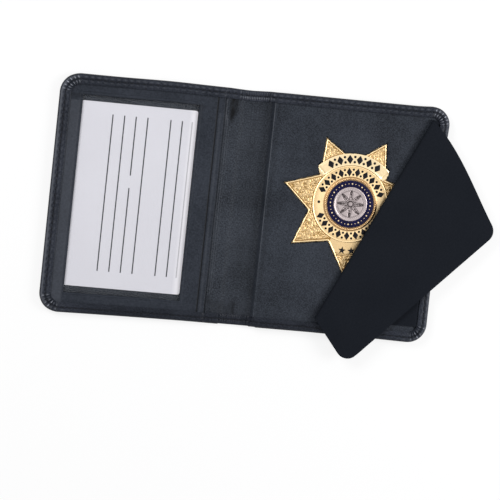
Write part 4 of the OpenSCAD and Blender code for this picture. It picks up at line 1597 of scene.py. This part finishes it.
def border_mesh():
    bm = bmesh.new()
    for values in BORDERS:
        add_border(bm, *values)
    for degrees in DOT_ANGLES:
        add_mark(bm, FIELD_MID, math.radians(degrees), FIELD + 0.02, DOT_SIZE, 14, 1.0)
    for across in STARS_X:
        angle = math.atan2(STARS_Y, across)
        add_mark(bm, STARS_R, angle, FIELD + 0.03, STARS_SIZE, 10, 1.0, 0.12, STAR_WAIST)
    return finish_mesh("badge_border", bm, BLACK, crisp=30)


def ring_dots():
    bm = numbered_bmesh("relief")
    for i in range(RING_DOTS):
        angle = math.pi / 2 + 2 * math.pi * i / RING_DOTS
        add_mark(bm, RING_DOT_R, angle, RING_DOT_Z, 0.24 if i % 3 else 0.42, 6, 1.0, 0.1)
    write_number(bm, "relief", 0.9)
    return finish_mesh("seal_ring_dots", bm, BRIGHT_GOLD, crisp=30)


seat(border_mesh(), "right_half", "seal_enamel")
seat(ring_dots(), "right_half", "badge_gold")

# %% [markdown]
# The outside of the card half carries a stamped device in gold foil. A plain rosette between two
# rings stands in for a customer's own mark. Foil is so thin that it only shows as a change of
# finish, so the rings are flat strips a hundredth of a millimetre proud of the leather.

# %% Foil on the outside
FOIL_X, FOIL_Y, FOIL_Z, FOIL_T = -50.0, 0.0, -0.012, 0.02
FOIL_RINGS = ((21.6, 22.6), (14.2, 14.8))
FOIL_MARKS, FOIL_MARKS_R = 24, 18.2


def foil_place(angle, r):
    return FOIL_X + r * math.cos(angle), FOIL_Y + r * math.sin(angle), FOIL_Z


def petal_place(angle, share):
    return foil_place(angle, share * (4.5 + 7.5 * math.cos(4 * angle) ** 2))


def foil_mesh():
    bm = numbered_bmesh("relief")
    for inner, outer in FOIL_RINGS:
        add_sheet(bm, round_lines(120), [inner, (inner + outer) / 2, outer], foil_place)
    add_sheet(bm, round_lines(240), spread(0.15, 1.0, 0.17), petal_place)
    middle = Matrix.Scale(MM, 4) @ Matrix.Translation((FOIL_X, FOIL_Y, FOIL_Z))
    for i in range(FOIL_MARKS):
        segments, radius, width = (4, 2.2, 0.6) if i % 2 else (12, 0.9, 1)
        made = bmesh.ops.create_circle(bm, cap_ends=True, segments=segments, radius=radius)
        spoke = middle @ Matrix.Rotation(2 * math.pi * i / FOIL_MARKS, 4, "Z")
        spoke = spoke @ Matrix.Translation((FOIL_MARKS_R, 0, 0)) @ Matrix.Diagonal((1, width, 1, 1))
        bmesh.ops.transform(bm, matrix=spoke, verts=made["verts"])
    weld(bm)
    for face in bm.faces:
        face.normal_update()
        if face.normal.z > 0:
            face.normal_flip()
    write_number(bm, "relief", 0.7)
    return finish_mesh("foil_rosette", bm, FOIL, FOIL_T)


foil = foil_mesh()
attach(foil, "left_half")
report(foil)

# %% [markdown]
# The pieces inside the halves keep their CAD shapes. They show only where the badge's cut-out
# leaves a narrow gap: boards of pressed pulp, black foam, and the posts and nuts that hold the
# badge to its backing.

# %% Hidden pieces


def plain(name, dark, light, size_mm, rough, depth_mm, metallic=0.0):
    finish = Finish(name)
    fibre = finish.noise(size_mm, 4.0, 0.7)
    return finish.set(
        Base_Color=finish.mix(fibre, dark, light),
        Metallic=metallic,
        Roughness=fibre * 0.15 + rough,
        Normal=finish.relief(fibre, depth_mm),
    )


BOARD = plain("pulp_board", screen(58, 57, 56), screen(84, 82, 80), 0.8, 0.75, 0.05)
FOAM = plain("black_foam", screen(20, 21, 24), screen(40, 41, 45), 0.4, 0.85, 0.15)
STEEL = plain("steel", screen(140, 142, 146), screen(196, 198, 202), 0.3, 0.3, 0.01, 1.0)
BRASS = plain("brass", screen(170, 122, 60), screen(226, 184, 112), 0.3, 0.3, 0.01, 1.0)
hidden = {
    BOARD: ("right_board", "left_board", "badge_backing"),
    FOAM: ("badge_filler",),
    BRASS: ("badge_posts",),
    STEEL: ("post_nuts",),
}
for material, nodes in hidden.items():
    for node in nodes:
        frame["nodes"][node].data.materials.clear()
        frame["nodes"][node].data.materials.append(material)
print("CAD pieces kept:", sum(len(nodes) for nodes in hidden.values()))

# %% [markdown]
# The wallet lies on a pale table. Camera rays, mirror rays and rays through the film see plain
# white, which is the backdrop of the photograph. The table mixes that white with its own shade, so
# it keeps a trace of the shadow.

# %% Table
TABLE_DROP = 0.03


def seen_white(finish):
    """1 for a ray that looks at the backdrop directly, in a mirror or through film."""
    camera, mirror, film = (finish.node("ShaderNodeLightPath", {}, {}, output) for output in
                            ("Is Camera Ray", "Is Glossy Ray", "Is Transmission Ray"))
    seen = camera + mirror + film
    return seen.math("MINIMUM", seen, 1.0)


def table_finish():
    finish = Finish("pale_table")
    finish.set(Base_Color=screen(246, 246, 247), Roughness=0.7)
    white = finish.node("ShaderNodeEmission", {}, {"Color": (1, 1, 1, 1), "Strength": 1.0})
    shade = Value(finish, finish.shader.outputs[0])
    cloth = finish.noise(40.0, 1.0) * 0.02
    share = seen_white(finish) * (0.82 - cloth)
    mixed = finish.node("ShaderNodeMixShader", {}, {0: share, 1: shade, 2: white})
    finish.feed(finish.tree.nodes["Material Output"].inputs["Surface"], mixed)
    return finish.material


def table_mesh():
    bm = bmesh.new()
    bmesh.ops.create_grid(bm, x_segments=8, y_segments=8, size=2.5)
    bmesh.ops.translate(bm, verts=bm.verts, vec=(0, 0, -TABLE_DROP * MM))
    return finish_mesh("table", bm, table_finish())


table_mesh()

# %% [markdown]
# Two soft lamps stand at the upper left and at the right, and the room gives the rest of the
# light. Rays that don't look at the backdrop directly see a dimmer room, so the backdrop doesn't
# light the object.

# %% Light and room


class Room(Finish):
    """The world's own nodes, reached in the same way as a material's."""

    def __init__(self, world):
        world.use_nodes = True
        self.material = world
        self.tree = world.node_tree
        self.shader = self.tree.nodes["Background"]


def softbox(name, place_mm, size_mm, watts):
    """A soft lamp that points at the middle of the wallet."""
    data = bpy.data.lights.new(name, "AREA")
    data.shape = "RECTANGLE"
    data.size, data.size_y = size_mm[0] * MM, size_mm[1] * MM
    data.energy = watts
    lamp = bpy.data.objects.new(name, data)
    spot = Vector(place_mm) * MM
    turn = (-spot).to_track_quat("-Z", "Y").to_matrix().to_4x4()
    lamp.matrix_world = Matrix.Translation(spot) @ turn
    bpy.context.collection.objects.link(lamp)


softbox("key", (-520, 400, 620), (420, 320), 4.5)
softbox("side", (520, 60, 420), (300, 300), 2.6)

world = bpy.data.worlds.new("room")
bpy.context.scene.world = world
room = Room(world)
room.set(Color=(1.0, 1.0, 1.0, 1.0), Strength=seen_white(room) * 0.6 + 0.4)
bpy.context.scene.view_settings.view_transform = "Standard"
